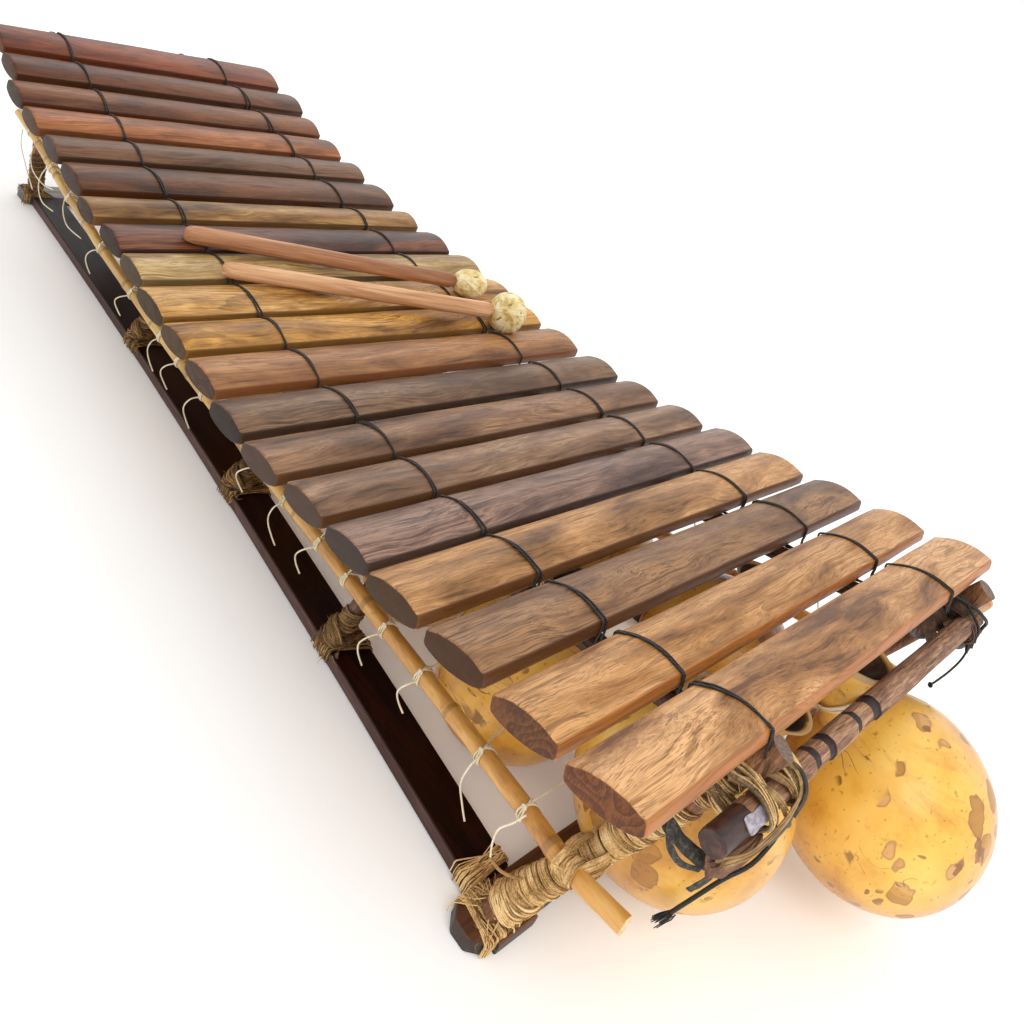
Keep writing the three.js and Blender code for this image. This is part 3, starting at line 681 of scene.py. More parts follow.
ARCH, SIDE, BELLY = 6.5, 8.5, 5.0
for i in range(1, 21):
    fr = bar_frame(i)
    yc, zc, w, mm, n, xl, xr = fr
    L = xr - xl
    sec = []
    NT = 14
    for k in range(NT + 1):
        u = -1 + 2 * k / NT
        u = math.copysign(abs(u) ** 0.85, u) * 0.965
        sec.append((u * 0.5, ARCH * (1 - u * u) + (0.25 if abs(u) > 0.9 else 0), 0, 1.0 if abs(u) > 0.93 else 0.0))
    sec.append((0.5, -1.3, 0, 1.0))
    sec.append((0.5, -4.6, 0, 1.0))
    sec.append((0.5, -SIDE + 1.2, 0, 1.0))
    NB = 12
    for k in range(NB + 1):
        u = 1 - 2 * k / NB
        u = u * 0.965
        sec.append((u * 0.5, -SIDE, (1 - u * u) ** 0.7, 0.3))
    sec.append((-0.5, -SIDE + 1.2, 0, 1.0))
    sec.append((-0.5, -4.6, 0, 1.0))
    sec.append((-0.5, -1.3, 0, 1.0))
    xs = [(xl, 0.90), (xl + 0.5, 0.955), (xl + 1.6, 0.99), (xl + 3.2, 1.0)]
    NX = 34
    xs += [(xl + 3.2 + (L - 6.4) * k / NX, 1.0) for k in range(1, NX)]
    xs += [(xr - 3.2, 1.0), (xr - 1.6, 0.99), (xr - 0.5, 0.955), (xr, 0.90)]
    rings, zone_mask = [], []
    for x, kk in xs:
        f = (x - xl) / L
        scal = 4.0 * math.exp(-((f - 0.5) / 0.16) ** 2)
        belly = BELLY - scal
        ring = []
        skew = 2.2 * mn.noise(Vector((i * 3.1, 0.3, 0))) * (1 if f > 0.5 else -1)
        for v, h, b, wr in sec:
            hh = h - b * belly
            hh = -SIDE / 2 + (hh + SIDE / 2) * kk
            vv = v * w * kk
            # gentle hand carving
            q = Vector((x / 55.0, v * 2.2, i * 5.3 + (0.0 if h > -3 else 9.0)))
            hh += 0.55 * mn.noise(q) * kk * (1 if kk == 1.0 else 0.6) - 0.1
            vv += 0.5 * mn.noise(Vector((x / 70.0, math.copysign(3.0, v), i * 2.7))) * (abs(v) * 2) - 0.0
            xo = 0.0
            if kk < 1.0 and abs(x - xl) < 2:
                xo = max(0.0, skew * v)
            elif kk < 1.0:
                xo = -max(0.0, skew * v)
            ring.append(bar_point(fr, x + xo, vv, hh))
            zone_mask.append(wr if wr != 1.0 else 1.0)
        rings.append(ring)
    acc = Acc()
    acc.rings(rings, 0, zone_mask)
    t = TONES[i]
    nm = "bar_%02d" % i
    mat = bar_wood("wood_" + nm, t[0], t[1], t[2], t[3], t[4], i, 0.9 if i in (9, 10, 11, 17, 19, 20) else 0.55)
    acc.obj("visual_" + nm, [mat], nm, 38, (nm,))
    # doubled cord loop at each side: over the top and down between the bars
    for side in (-1, 1):
        rnd = random.Random(i * 7 + side)
        acc = Acc()
        for s in (-1, 1):
            pts = []
            x0 = side * (153.1 - 0.0425 * yc) + s * 0.8
            dx = rnd.uniform(-3.5, 3.5)
            xa, xb = x0 - dx, x0 + dx
            path = [(-0.5, -17.5, -0.6), (-0.5, -12.0, 0.2), (-0.5, -8.0, 0.9), (-0.5, -3.0, 1.05)]
            for k in range(0, 11):
                u = -1 + 2 * k / 10
                path.append((u * 0.5, ARCH * (1 - u * u) + 0.95, 0.5 * u if abs(u) == 1 else 0))
            path += [(0.5, -3.0, 1.05), (0.5, -8.0, 0.9), (0.5, -12.0, 0.2), (0.5, -17.5, -0.6)]
            for k, (v, h, o) in enumerate(path):
                f = k / (len(path) - 1)
                oo = math.copysign(abs(o), v) if v else 0
                wig = 0.25 * math.sin(f * 17 + i + s)
                pts.append(bar_point(fr, xa + (xb - xa) * f + wig, v * w + oo, h))
            acc.tube(catmull(pts, 3), 0.82, 8, up=(1, 0, 0))
        acc.obj("loop_%s_%02d" % ("l" if side < 0 else "r", i), [M_loop], nm)

# ------------------------------------------------------------------ bed cords, rails
def bury(y, d):
    m_ = slope(y)
    n_ = math.hypot(1, m_)
    return (y + d * m_ / n_, shoulder(y) - d / n_)


for side, tag in ((-1, "left"), (1, "right")):
    pts = []
    for k in range(60):
        y = 19 + (1160 - 19) * k / 59
        yy, zz = bury(y, 18.0)
        pts.append((side * rail_x(yy), yy, zz))
    acc = Acc()
    up = []
    # two twisted strands
    for s in (0, math.pi):
        q = []
        dense = catmull(pts, 8)
        for k, p in enumerate(dense):
            a = s + k * 0.55
            q.append((p.x + 0.75 * math.cos(a), p.y, p.z + 0.75 * math.sin(a)))
        acc.tube(q, 1.15, 6)
    acc.obj("bed_twist_" + tag, [M_bed], "frame", 60, ("bed_cord_" + tag,))
    pts = []
    for k in range(40):
        y = 27 + (1180 - 27) * k / 39
        yy, zz = bury(y, 27.95)
        pts.append((side * rail_x(yy), yy, zz))
    acc = Acc()
    acc.tube(pts, [7.3 + 0.5 * mn.noise(Vector((k * 0.37, side, 0))) for k in range(40)], 16, bump=lambda i, a: 0.05 * mn.noise(Vector((i * 0.4, 2 * math.cos(a), 2 * math.sin(a)))), capmat=1)
    acc.obj("rail_stick_" + tag, [M_rail, M_endgrain], "frame", 50, ("rail_" + tag,))

# ------------------------------------------------------------------ base boards and cross boards
def board(acc, ya, yb, xo, xi, z0, z1, mat=0, n=26, ch=0.9):
    rings = []
    ys = [ya, ya + 0.8] + [ya + 0.8 + (yb - ya - 1.6) * k / n for k in range(1, n)] + [yb - 0.8, yb]
    for j, y in enumerate(ys):
        e = 0.8 if j in (0, len(ys) - 1) else 0.0
        a, b = xo(y), xi(y)
        s = 1 if a > b else -1
        a, b = a - s * e, b + s * e
        wob = 0.35 * mn.noise(Vector((y / 45.0, a, 0)))
        zt, zb = z1 - e * 0.6 - 0.2 + 0.2 * mn.noise(Vector((y / 60.0, 4.4, a))), z0 + e * 0.4
        rings.append([(a - s * ch + wob, y, zb), (a + wob, y, zb + ch), (a + wob, y, zt - ch), (a - s * ch + wob, y, zt),
                      (a * 0.5 + b * 0.5, y, zt + 0.05), (b + s * ch, y, zt), (b, y, zt - ch), (b, y, zb + ch), (b + s * ch, y, zb)])
    acc.rings(rings, mat)


for side, tag in ((-1, "left"), (1, "right")):
    acc = Acc()
    board(acc, 82.3, 1079.7, lambda y: side * outer(y), lambda y: side * (outer(y) - 36), 0.0, 12.0)
    acc.obj("board_" + tag, [M_board], "frame", 35, ("base_board_" + tag,))


def cross(name, ya, yb, x0, x1, z1, mat, node, c0=9.0, chips=()):
    """cross board with chamfered corners; sections run along X"""
    acc = Acc()
    rings = []
    N = 60
    xs = [x0, x0 + 0.8, x0 + c0 * 0.5, x0 + c0] + [x0 + c0 + (x1 - x0 - 2 * c0) * k / N for k in range(1, N)] + [x1 - c0, x1 - c0 * 0.5, x1 - 0.8, x1]
    for x in xs:
        d = min(x - x0, x1 - x)
        cut = max(0.0, c0 - d)
        e = 0.7 if d < 0.5 else 0.0
        a, b = ya + cut * 0.95, yb - cut * 0.95
        w = 0.4 * mn.noise(Vector((x / 40.0, ya, 1.0)))
        a += w + e
        b += w - e
        zt = z1 - 0.3 - e + 0.3 * mn.noise(Vector((x / 50.0, yb, 2.0)))
        ch = 0.9
        rings.append([(x, a + ch, 0.0), (x, a, ch), (x, a, zt - ch), (x, a + ch, zt), (x, (a + b) / 2, zt + 0.1), (x, b - ch, zt), (x, b, zt - ch), (x, b, ch), (x, b - ch, 0.0)])
    acc.rings(rings, 0)
    for (xa, xb, yaa, ybb, zt) in chips:
        rr = []
        for x, e in ((xa, 0.8), (xa + 0.9, 0), (xb - 0.9, 0), (xb, 0.8)):
            rr.append([(x, yaa + e, 0.1), (x, yaa, 1.0), (x, yaa, zt - 1.2), (x, yaa + 1.2, zt - e), (x, ybb, zt - e), (x, ybb, 0.1)])
        acc.rings(rr, 0)
    acc.obj(name, [mat], "frame", 30, (node,))


cross("cross_board_near", 50.0, 82.0, -226, 226, 12.0, M_block, "base_cross_near", 9.0, [(-209, -171, 46.0, 51.0, 10.5)])
cross("cross_board_far", 1080.0, 1114.0, -127, 127, 12.0, M_block2, "base_cross_far", 6.0)


# ------------------------------------------------------------------ legs, struts, slats
def stick_between(name, node, a, b, ra, rb, mat, endmat, seed):
    acc = Acc()
    A, B = Vector(a), Vector(b)
    N = 26
    pts, rr = [], []
    for k in range(N + 1):
        t = k / N
        p = A.lerp(B, t)
        p += Vector((mn.noise(Vector((t * 2.3, seed, 0))), mn.noise(Vector((t * 2.3, seed, 5))), 0)) * 0.9 * math.sin(math.pi * t)
        pts.append(p)
        rr.append((ra + (rb - ra) * t) * (1 + 0.03 * mn.noise(Vector((t * 9, seed, 2)))))
    acc.tube(pts, rr, 18, capmat=1, bump=lambda i, an: 0.045 * mn.noise(Vector((i * 0.35, 1.8 * math.cos(an) + seed, 1.8 * math.sin(an)))))
    acc.obj(name, [mat, endmat], "frame", 50, (node,))


TOPS = {"leg_near_left": [-140.5, -13.0, 223.5], "leg_near_right": [225.5, -17.5, 225.0],
        "leg_far_left": [-112.0, 1135.0, 184.5], "leg_far_right": [112.0, 1135.0, 184.5]}
for k, (node, (a, b, r0, r1)) in enumerate(LEGS.items()):
    b = TOPS.get(node, b)
    stick_between("stick_" + node, node, a, b, r0, r1, M_leg, M_endgrain, 3.7 * k + 1)
for side, tag in ((-1, "left"), (1, "right")):
    for k, y in enumerate(STRUT_Y):
        rz = shoulder(y) - 27.95 - 7.5 - 1.6
        stick_between("stick_strut_%s_%d" % (tag, k + 1), "strut_%s_%d" % (tag, k + 1), [side * (outer(y) - 8), y, 12.3],
                      [side * rail_x(y), y, rz], 7, 6.5, M_strut, M_endgrain, 11.3 + 2.1 * k + side)


def slat(name, node, y, z, xa, xb, R_, fancy):
    acc = Acc()
    L = xb - xa
    n1, n2 = (xa + 0.33 * L, xa + 0.385 * L), (xa + 0.56 * L, xa + 0.61 * L)
    if fancy:
        n1, n2 = (-96.0, -68.0), (-33.0, 4.0)
    N = 70
    xs = sorted(set([round(xa + L * k / N, 3) for k in range(N + 1)] + [xa + 1.0, xb - 1.0] + [q + d for q in (n1 + n2) for d in (-0.4, 0.4)]))
    rings, mats = [], []
    for x in xs:
        cut = 1.0 if (n1[0] < x < n1[1]) or (n2[0] < x < n2[1]) else 0.0
        e = 0.9 if x in (xs[0], xs[-1]) else 1.0
        ring = []
        for i in range(8):
            a = 2 * math.pi * (i + 0.5) / 8
            for da in (-0.13, 0.13):
                aa = a + da
                rr = R_ / math.cos(math.pi / 8) * math.cos(0.06) * e * (1 + 0.05 * mn.noise(Vector((x / 42.0, i * 1.7, z))))
                py, pz = rr * math.cos(aa), rr * math.sin(aa)
                if cut and (py < -0.2 * R_ or pz > 0.45 * R_):
                    py *= 0.86
                    pz *= 0.86
                ring.append((x, y + py, z + pz))
        rings.append(ring)
    acc.rings(rings, 0, capmat=2)
    nr = 16
    for k in range(len(xs) - 1):
        xm = (xs[k] + xs[k + 1]) / 2
        if (n1[0] - 1 < xm < n1[1] + 1 and (fancy and (xm < n1[0] + 9 or xm > n1[1] - 9))) or (n2[0] - 1 < xm < n2[1] + 1 and (xm < n2[0] + 9 or xm > n2[1] - 9)):
            for i in range(nr):
                acc.m[k * nr + i] = 1
        if fancy and xm < xa + 34:
            for i in range(nr):
                acc.m[k * nr + i] = 2
    acc.obj(name, [M_slat, M_slat_dark, M_slat_end], "frame", 32, (node,))


slat("slat_stick_near", "slat_near", -21.0, 193.6, -206.0, 231.0, 8.2, True)
slat("slat_stick_far", "slat_far", 1160.0, 171.0, -146.0, 146.0, 8.2, False)


# ------------------------------------------------------------------ canes
def swing(y):
    t = min(1.0, max(0.0, (420 - y) / 384))
    return 25 * t * t * (3 - 2 * t)


CL = catmull(CANE, 14)


def cane(name, node, path, seed):
    acc = Acc()
    total, s, rr, zone_mask = length(path), 0.0, [], []
    joints = [60, 175, 290, 405, 520, 622, 715, 790, 856, 913, 965, 1010, 1042, 1075, 1101]
    for k, p in enumerate(path):
        if k:
            s += (path[k] - path[k - 1]).length
        r = 6.45 - 1.25 * s / total
        near = min(abs(s - j) for j in joints)
        r += 0.55 * math.exp(-(near / 3.0) ** 2)
        rr.append(r)
        zone_mask += [1.0 if near < 2.2 else (0.45 if near < 4 else 0.0)] * 18
    acc.tube(path, rr, 18, capmat=1, zone_mask=zone_mask, bump=lambda i, a: 0.02 * mn.noise(Vector((i * 0.2, math.cos(a) + seed, math.sin(a)))))
    acc.obj(name, [M_cane, M_cane_end], "frame", 50, (node,))


def resample(path, step):
    out, acc_, last = [path[0]], 0.0, path[0]
    for p in path[1:]:
        seg = (p - last).length
        while seg > 0 and acc_ + seg >= step:
            last = last.lerp(p, (step - acc_) / seg)
            out.append(last)
            seg = (p - last).length
            acc_ = 0.0
        acc_ += seg
        last = p
    out.append(path[-1])
    return out


CF = resample(CL, 2.0)
cane("cane_rod_left", "cane_left", CF, 1.0)
cane("cane_rod_right", "cane_right", [Vector((-p.x + swing(p.y), p.y, p.z)) for p in CF], 4.0)

# ------------------------------------------------------------------ gourds
for gi, (c, Rg, mth, rm, bend) in enumerate(GOURDS):
    C, Mo = Vector(c), Vector(mth)
    neck, wall = 0.68 * rm, 3.6
    Pb = Vector(bend) if bend else Vector((mth[0], mth[1], mth[2] - 0.55 * rm))
    ax = (Pb - C).normalized()
    up = Vector((0, 0, 1))
    N = 56
    rnd = random.Random(gi)

    def centre_line(h):
        """point and direction at distance h from the body centre"""
        q = (Pb - C).length
        if h <= q - 6:
            return C + ax * h, ax
        t = min(1.0, (h - (q - 6)) / (6 + (Mo - Pb).length))
        a, b, d = C + ax * (q - 6), Pb, Mo
        p = a * (1 - t) ** 2 + b * 2 * t * (1 - t) + d * t * t
        dr = ((b - a) * (1 - t) + (d - b) * t).normalized()
        dr = (dr * (1 - t) + up * t).normalized()
        return p, dr

    q = (Pb - C).length
    aend = math.acos(min(0.95, 1.30 * neck / Rg))
    prof = []
    for k in range(26):
        a = -math.pi / 2 + 0.05 + (aend + math.pi / 2 - 0.05) * k / 25
        prof.append((Rg * math.sin(a), Rg * math.cos(a), 0.0))
    h0, r0 = prof[-1][0], prof[-1][1]
    hN, hM = max(q, h0 + 3), max(q, h0 + 3) + (Mo - Pb).length
    for k in range(1, 9):
        t = k / 8
        s = t * t * (3 - 2 * t)
        prof.append((h0 + (hN - h0) * t, r0 + (neck - r0) * (1 - (1 - t) ** 2), 0.05))
    for k in range(1, 8):
        t = k / 7
        prof.append((hN + (hM - hN) * t, neck + (rm - neck) * t ** 1.7, 0.1 if k < 6 else 0.5))
    inner = [(hM + 0.3, rm - 1.4, 0.5), (hM - 0.6, rm - 2.8, 0.8)]
    for k in range(6, -1, -1):
        t = k / 7
        inner.append((hN + (hM - hN) * t, neck + (rm - neck) * t ** 1.7 - wall, 1.0))
    inner.append((h0 + 1.5, r0 - wall, 1.0))
    for k in range(1, 12):
        a = aend - (aend + math.pi / 2 - 0.1) * k / 11
        inner.append(((Rg - wall) * math.sin(a), (Rg - wall) * math.cos(a), 1.0))
    rings, zone_mask = [], []
    for h, r, wv in prof + inner:
        if h <= hN:
            p, d = (C + ax * h, ax) if h <= q - 6 else centre_line(min(h, q))
        else:
            t = (h - hN) / (hM - hN)
            p = Pb.lerp(Mo, t)
            d = (ax * (1 - t) + up * (1 + t)).normalized()
            if h >= hM - 0.7:
                d = up
        u = (Vector((1, 0, 0)) - d * d.x).normalized()
        v = d.cross(u)
        ring = []
        for k in range(N):
            a = 2 * math.pi * k / N
            n3 = u * math.cos(a) + v * math.sin(a)
            dd = mn.noise(Vector((p + n3 * r)) / 46.0 + Vector((gi * 3.0, 0, 0))) * 0.9 + 0.35 * mn.noise(Vector((p + n3 * r)) / 17.0)
            rr = r + dd * min(1.0, r / 30.0) - (0.9 if wv < 0.04 else 0)
            if wv in (0.5, 0.8):
                rr += 0.5 * mn.noise(Vector((math.cos(a) * 3, math.sin(a) * 3, gi)))
            ring.append(p + n3 * rr)
        rings.append(ring)
        zone_mask += [wv] * N
    acc = Acc()
    acc.rings(rings, 0, zone_mask)
    nm = "gourd_%02d" % (gi + 1)
    acc.obj("skin_" + nm, [gourd_skin("skin_%02d" % (gi + 1), gi + 1.0)], "frame", 60, (nm,))

# ------------------------------------------------------------------ mallets
def grip_wood(name, seed, tones, ang):
    m = Mat(name, 0.5, coat=0.02, spec=0.3)
    along = m.map((1, 1, 1), (0, 0, 0), (0, 0, -ang))    # the stick's own length lies along x
    s1 = m.noise(m.map((5, 110, 110), (seed, 0, 0), vec=along), 1.0, 4, 0.6, 0.4)
    s2 = m.noise(m.map((16, 480, 480), (seed, 0, 0), vec=along), 1.0, 3, 0.6)
    a = m.math("ADD", m.math("MULTIPLY", s1, 0.6), m.math("MULTIPLY", s2, 0.4))
    c = m.ramp(a, list(zip((0.34, 0.5, 0.66), tones)))
    dirt = m.step(m.noise(m.map((40, 40, 40), (seed, 2, 0)), 1.0, 5, 0.7), 0.58, 0.72)
    c = m.mix(m.math("MULTIPLY", dirt, 0.35), c, "7a4c33")
    m.color(c)
    m.bump(m.math("ADD", s2, s1), 0.25, 0.0005)
    return m.m


M_rubber = Mat("rubber_strip", 0.55, spec=0.4)
_n = M_rubber.noise(M_rubber.map((90, 90, 90)), 1.0, 4, 0.6)
_c = M_rubber.ramp(_n, [(0.3, "b08a48"), (0.45, "dcc382"), (0.60, "ecdfb4"), (0.8, "f5efd8")])
# strip edges darkened toward a07d40: painted shade between the wound turns
M_rubber.color(M_rubber.mix(M_rubber.math("MULTIPLY", M_rubber.step(M_rubber.zone_mask(), 0.4, 1.0), 0.55), _c, "a07d40"))
M_rubber.bump(_n, 0.25, 0.0006)
M_core = plain_noise("rubber_core", [(0.3, "8a6a36"), (0.6, "c4a468")], 140, 0.6, 0.3)

for mi, (nm, butt, head, grip, neck, r, s) in enumerate(MALLETS):
    A, B = Vector(butt), Vector(head)
    B.z += 1.5 if nm == "mallet_b" else 0.0
    L = (B - A).length
    d = (B - A).normalized()
    e = r * s
    acc = Acc()
    pts, rr = [], []
    prof = [(0, 0.25), (0.8, 0.5), (2, 0.7), (4.5, 0.86), (9, 0.95), (16, 0.99), (30, 1.0)]
    for h, k in prof:
        pts.append(A + d * h)
        rr.append(grip * k)
    NS = 24
    for k in range(1, NS + 1):
        t = k / NS
        h = 30 + (L - e - 4 - 30) * t
        pts.append(A + d * h)
        rr.append((grip + (neck - grip) * min(1, t * 1.3)) * (1 + 0.02 * mn.noise(Vector((t * 7, mi * 4.0, 0)))))
    pts.append(A + d * (L - e - 2.6))
    rr.append(neck * 0.86)
    pts.append(A + d * (L - e * 0.2))
    rr.append(neck * 0.55)
    acc.tube(pts, rr, 24, bump=lambda i, a: 0.02 * mn.noise(Vector((i * 0.5, math.cos(a), math.sin(a)))))
    acc.obj("grip_" + nm, [grip_wood("grip_wood_" + nm, mi * 3.0, (("7a4e36", "a87450", "c6946e"), ("92623f", "c8966c", "e6bc92"))[mi], math.atan2(B.y - A.y, B.x - A.x))], nm, 60, (nm + "_handle",))
    # head: core wound with flat rubber strips
    acc = Acc()
    q = d.to_track_quat("Z", "Y")
    rings = []
    for k in range(13):
        a = -math.pi / 2 + 0.12 + (math.pi - 0.24) * k / 12
        rings.append([B + q @ Vector((0.93 * r * math.cos(a) * math.cos(2 * math.pi * j / 20), 0.93 * r * math.cos(a) * math.sin(2 * math.pi * j / 20), 0.93 * e * math.sin(a))) for j in range(20)])
    acc.rings(rings, 1)
    rnd = random.Random(40 + mi)
    wraps = 46 if r > 18 else 40
    for k in range(wraps):
        # turns in every direction, as a ball of strip is wound; the middle ones lie outermost
        nrm = Vector((rnd.gauss(0, 1), rnd.gauss(0, 1), rnd.gauss(0, 0.8))).normalized()
        off = rnd.uniform(-0.38, 0.38)
        u = nrm.orthogonal().normalized()
        v = nrm.cross(u)
        lvl = 0.93 + 0.055 * k / wraps
        path, ups = [], []
        M_ = 44
        ph = rnd.uniform(0, 6)
        for j in range(M_):
            a = 2 * math.pi * j / M_
            w_ = off + 0.07 * math.sin(2 * a + ph)
            p = (u * math.cos(a) + v * math.sin(a)) * math.sqrt(max(0.05, 1 - w_ * w_)) + nrm * w_
            path.append(B + q @ Vector((p.x * r * lvl, p.y * r * lvl, p.z * e * lvl)))
            ups.append(q @ Vector((p.x / r, p.y / r, p.z / e)).normalized())
        acc.tube(path, rnd.uniform(1.6, 2.7), 8, 0, flat=0.32, up=ups, loop=True, caps=False, edge=True)
    acc.obj("winding_" + nm, [M_rubber.m, M_core], nm, 60, (nm + "_head",))


# ------------------------------------------------------------------ lashings
def helix(a, b, r, turns, t0=0.0, t1=1.0, seed=0, jit=0.35, per=18, wob=0.0):
    A, B = Vector(a), Vector(b)
    d = (B - A).normalized()
    u = d.orthogonal().normalized()
    v = d.cross(u)
    out = []
    n = int(turns * per)
    for k in range(n + 1):
        t = k / n
        an = 2 * math.pi * turns * t
        c = A.lerp(B, t0 + (t1 - t0) * t)
        # whole turns lean a little
        j = mn.noise(Vector((t * turns * 0.9, seed, 0))) * jit
        rr = r * (1 + 0.05 * mn.noise(Vector((t * turns * 1.7, seed, 7)))) + j * 0.5
        out.append(c + d * (j + wob * math.sin(an + seed)) + u * rr * math.cos(an) + v * rr * math.sin(an))
    return out


def loop_round(centre, n1, n2, ra, rb, seed, per=26, wob=0.6):
    """closed irregular loop round the given plane"""
    c, a1, a2 = Vector(centre), Vector(n1).normalized(), Vector(n2).normalized()
    a3 = a1.cross(a2)
    out = []
    for k in range(per):
        a = 2 * math.pi * k / per
        w1 = 1 + 0.05 * mn.noise(Vector((math.cos(a) * 1.3, math.sin(a) * 1.3, seed)))
        q = c + a1 * ra * w1 * math.cos(a) + a2 * rb * w1 * math.sin(a) + a3 * wob * mn.noise(Vector((math.cos(a) * 1.1, math.sin(a) * 1.1, seed + 9)))
        out.append(q)
    return out


def hairs(acc, centres, n, r, ln, rnd, mat=0, down=0.4, rad=0.28):
    for _ in range(n):
        c = Vector(centres[rnd.randrange(len(centres))])
        d = Vector((rnd.gauss(0, 1), rnd.gauss(0, 1), rnd.gauss(0, 1) - down)).normalized()
        p0 = c + d * r * rnd.uniform(0.5, 1.0)
        l = ln * rnd.uniform(0.4, 1.0)
        d2 = (d + Vector((rnd.gauss(0, .5), rnd.gauss(0, .5), rnd.gauss(0, .5)))).normalized()
        p1, p2 = p0 + d * l * 0.5, p0 + d * l * 0.5 + d2 * l * 0.5
        if min(p1.z, p2.z) < 0.5:
            continue
        acc.tube([p0, p1, p2], [rad, rad * 0.8, rad * 0.4], 5, mat)


def helix_band(acc, a, b, r, turns, t0, t1, seed, width, thick, mats, strands=3, per=18, jit=0.5, rs=0.5):
    A, B = Vector(a), Vector(b)
    pts = helix(a, b, r, turns, t0, t1, seed, jit, per)
    d = (B - A).normalized()
    ups = []
    for p in pts:
        q = p - A
        ups.append((q - d * q.dot(d)).normalized())
    acc.bundle(pts, ups, width, thick, random.Random(seed * 7 + 1), mats, strands, r=rs)


def ring_band(acc, centre, n1, n2, ra, rb, seed, width, thick, mats, strands=3, per=28, wob=0.8, rs=0.5):
    c = Vector(centre)
    pts = loop_round(centre, n1, n2, ra, rb, seed, per, wob)
    ups = [(p - c).normalized() for p in pts]
    acc.bundle(pts, ups, width, thick, random.Random(int(seed * 13) + 5), mats, strands, loop=True, r=rs)


def over_board(acc, cxy, hx, z1, ang, seed, width, thick, mats, strands=3, wild=0.0, rs=0.5, both=True):
    """a spread of loose fibres over a board: up one edge, across the top and down the other"""
    rnd_ = random.Random(seed * 31 + 7)
    for k in range(strands * 2 + 1):
        a_ = ang + rnd_.gauss(0, 0.16)
        c, s_ = math.cos(a_), math.sin(a_)
        lat = rnd_.uniform(-0.5, 0.5) * width
        h_ = hx + rnd_.uniform(0.0, 0.8)
        j = rnd_.uniform(0.2, 0.5 + thick)
        r_ = rnd_.uniform(0.35, 0.75)
        lo = rnd_.uniform(0.6, 3.0)
        pro = [(-h_ - r_ * 0.6, lo), (-h_ - r_ * 0.6, z1 * 0.6), (-h_ * 0.99 - r_ * 0.4, z1 * 0.97), (-h_ * 0.85, z1 + j), (0, z1 + j), (h_ * 0.85, z1 + j), (h_ * 0.99 + r_ * 0.4, z1 * 0.97), (h_ + r_ * 0.6, z1 * 0.6), (h_ + r_ * 0.6, lo)]
        pts = [(cxy[0] + x * c - s_ * (lat + 0.8 * mn.noise(Vector((i_ * 0.6, k, seed)))), cxy[1] + x * s_ + c * (lat + 0.8 * mn.noise(Vector((i_ * 0.6, k, seed)))), max(z, r_ + 0.1)) for i_, (x, z) in enumerate(pro)]
        acc.tube(catmull(pts, 4), r_, 5, mats[rnd_.randrange(len(mats))], flat=0.7)


# near left leg: flat turns of raffia from the foot to above the cane
F, T = Vector((-200, 65, 12.3)), Vector((-143, -8, 217))
leg_d = (T - F).normalized()
acc = Acc()
helix_band(acc, F, T, 9.8, 17, 0.04, 0.70, 1, 7.6, 3.0, (0, 0, 1), 3, 20, 0.9)
helix_band(acc, F, T, 10.9, 4, 0.04, 0.24, 5, 6.0, 2.0, (0, 1), 3, 20, 2.0)
helix_band(acc, F, T, 10.8, 5, 0.50, 0.74, 8, 6.5, 1.9, (0, 1), 4, 20, 2.2)
for k in range(4):
    c = F.lerp(T, 0.06 + 0.03 * k)
    ring_band(acc, c, (1, 0.3, -0.25 + 0.2 * k), (0, 1, 0.45 - 0.2 * k), 12.6, 12.0, k * 1.3, 5.0, 1.6, (0, 1), 4)
rnd = random.Random(5)
hairs(acc, [F.lerp(T, 0.05 + 0.6 * k / 20) for k in range(21)], 70, 11, 9, rnd, 1, rad=0.22)
acc.obj("leg_twine_near_left", [M_twine, M_twine_d], "frame", 60)

# cane lashed to that leg: crossing turns round both
cx = Vector((-205.5, 36, 98.5))
lx = F.lerp(T, 0.421)
mid = (cx + lx) / 2
acc = Acc()
ad = (cx - lx).normalized()
for k in range(7):
    tl = -0.75 + 0.25 * k
    n2 = (Vector((0, -math.cos(tl), 0)) + leg_d * math.sin(tl)).normalized()
    ring_band(acc, mid + Vector((0, 0, -1 + 0.4 * k)), ad, n2, 22.0, 11.2 + 0.4 * (k % 3), k * 2.1 + 3, 5.5, 1.7, (0, 0, 1), 4, 30, 1.2)
for k in range(3):
    ring_band(acc, cx + Vector((0, 5 - 5.0 * k, 0.6 * k)), (1, 0, 0), (0, 0.15, 1), 7.9, 7.9, k * 1.9, 5.2, 1.5, (0, 1), 3, 24)
hairs(acc, [cx, mid, lx], 22, 12, 8, rnd, 1, rad=0.22)
acc.obj("cane_lashing_near", [M_twine, M_twine_d], "frame", 60)

# foot: bands and loose fibres crossed over the board corner
def foot_bands(acc, foot, sx, yc, half, seed, n_fib=34):
    rnd_ = random.Random(seed)
    for k, (dx, dl) in enumerate(((-12, -0.22), (-4, 0.10), (6, 0.34))):
        over_board(acc, (foot.x + sx * dx * -1, yc), (half + 0.7) / math.cos(dl), 12.0, math.pi / 2 + dl, seed + k, 7.0, 1.0, (0, 1), 6, 2, 0.40)
    for k in range(n_fib):
        a_ = foot + Vector((rnd_.uniform(-7, 7), rnd_.uniform(-8, 8), rnd_.uniform(4, 12)))
        ang = rnd_.uniform(0, 2 * math.pi)
        ex, ey = rnd_.uniform(8, 22) * math.cos(ang), (half + 1.0) * math.copysign(1, math.sin(ang))
        b_ = Vector((min(max(foot.x + ex, -225), 225), yc + ey * 0.96, 12.6))
        c_ = Vector((b_.x + rnd_.uniform(-4, 4), yc + ey * 1.02, rnd_.uniform(3, 9)))
        m_ = (a_ + b_) / 2
        m_.z = 13.6
        acc.tube(catmull([a_, m_, b_, c_], 5), [0.62 * (1 - 0.5 * t / 15) for t in range(16)], 5, rnd_.randrange(2))


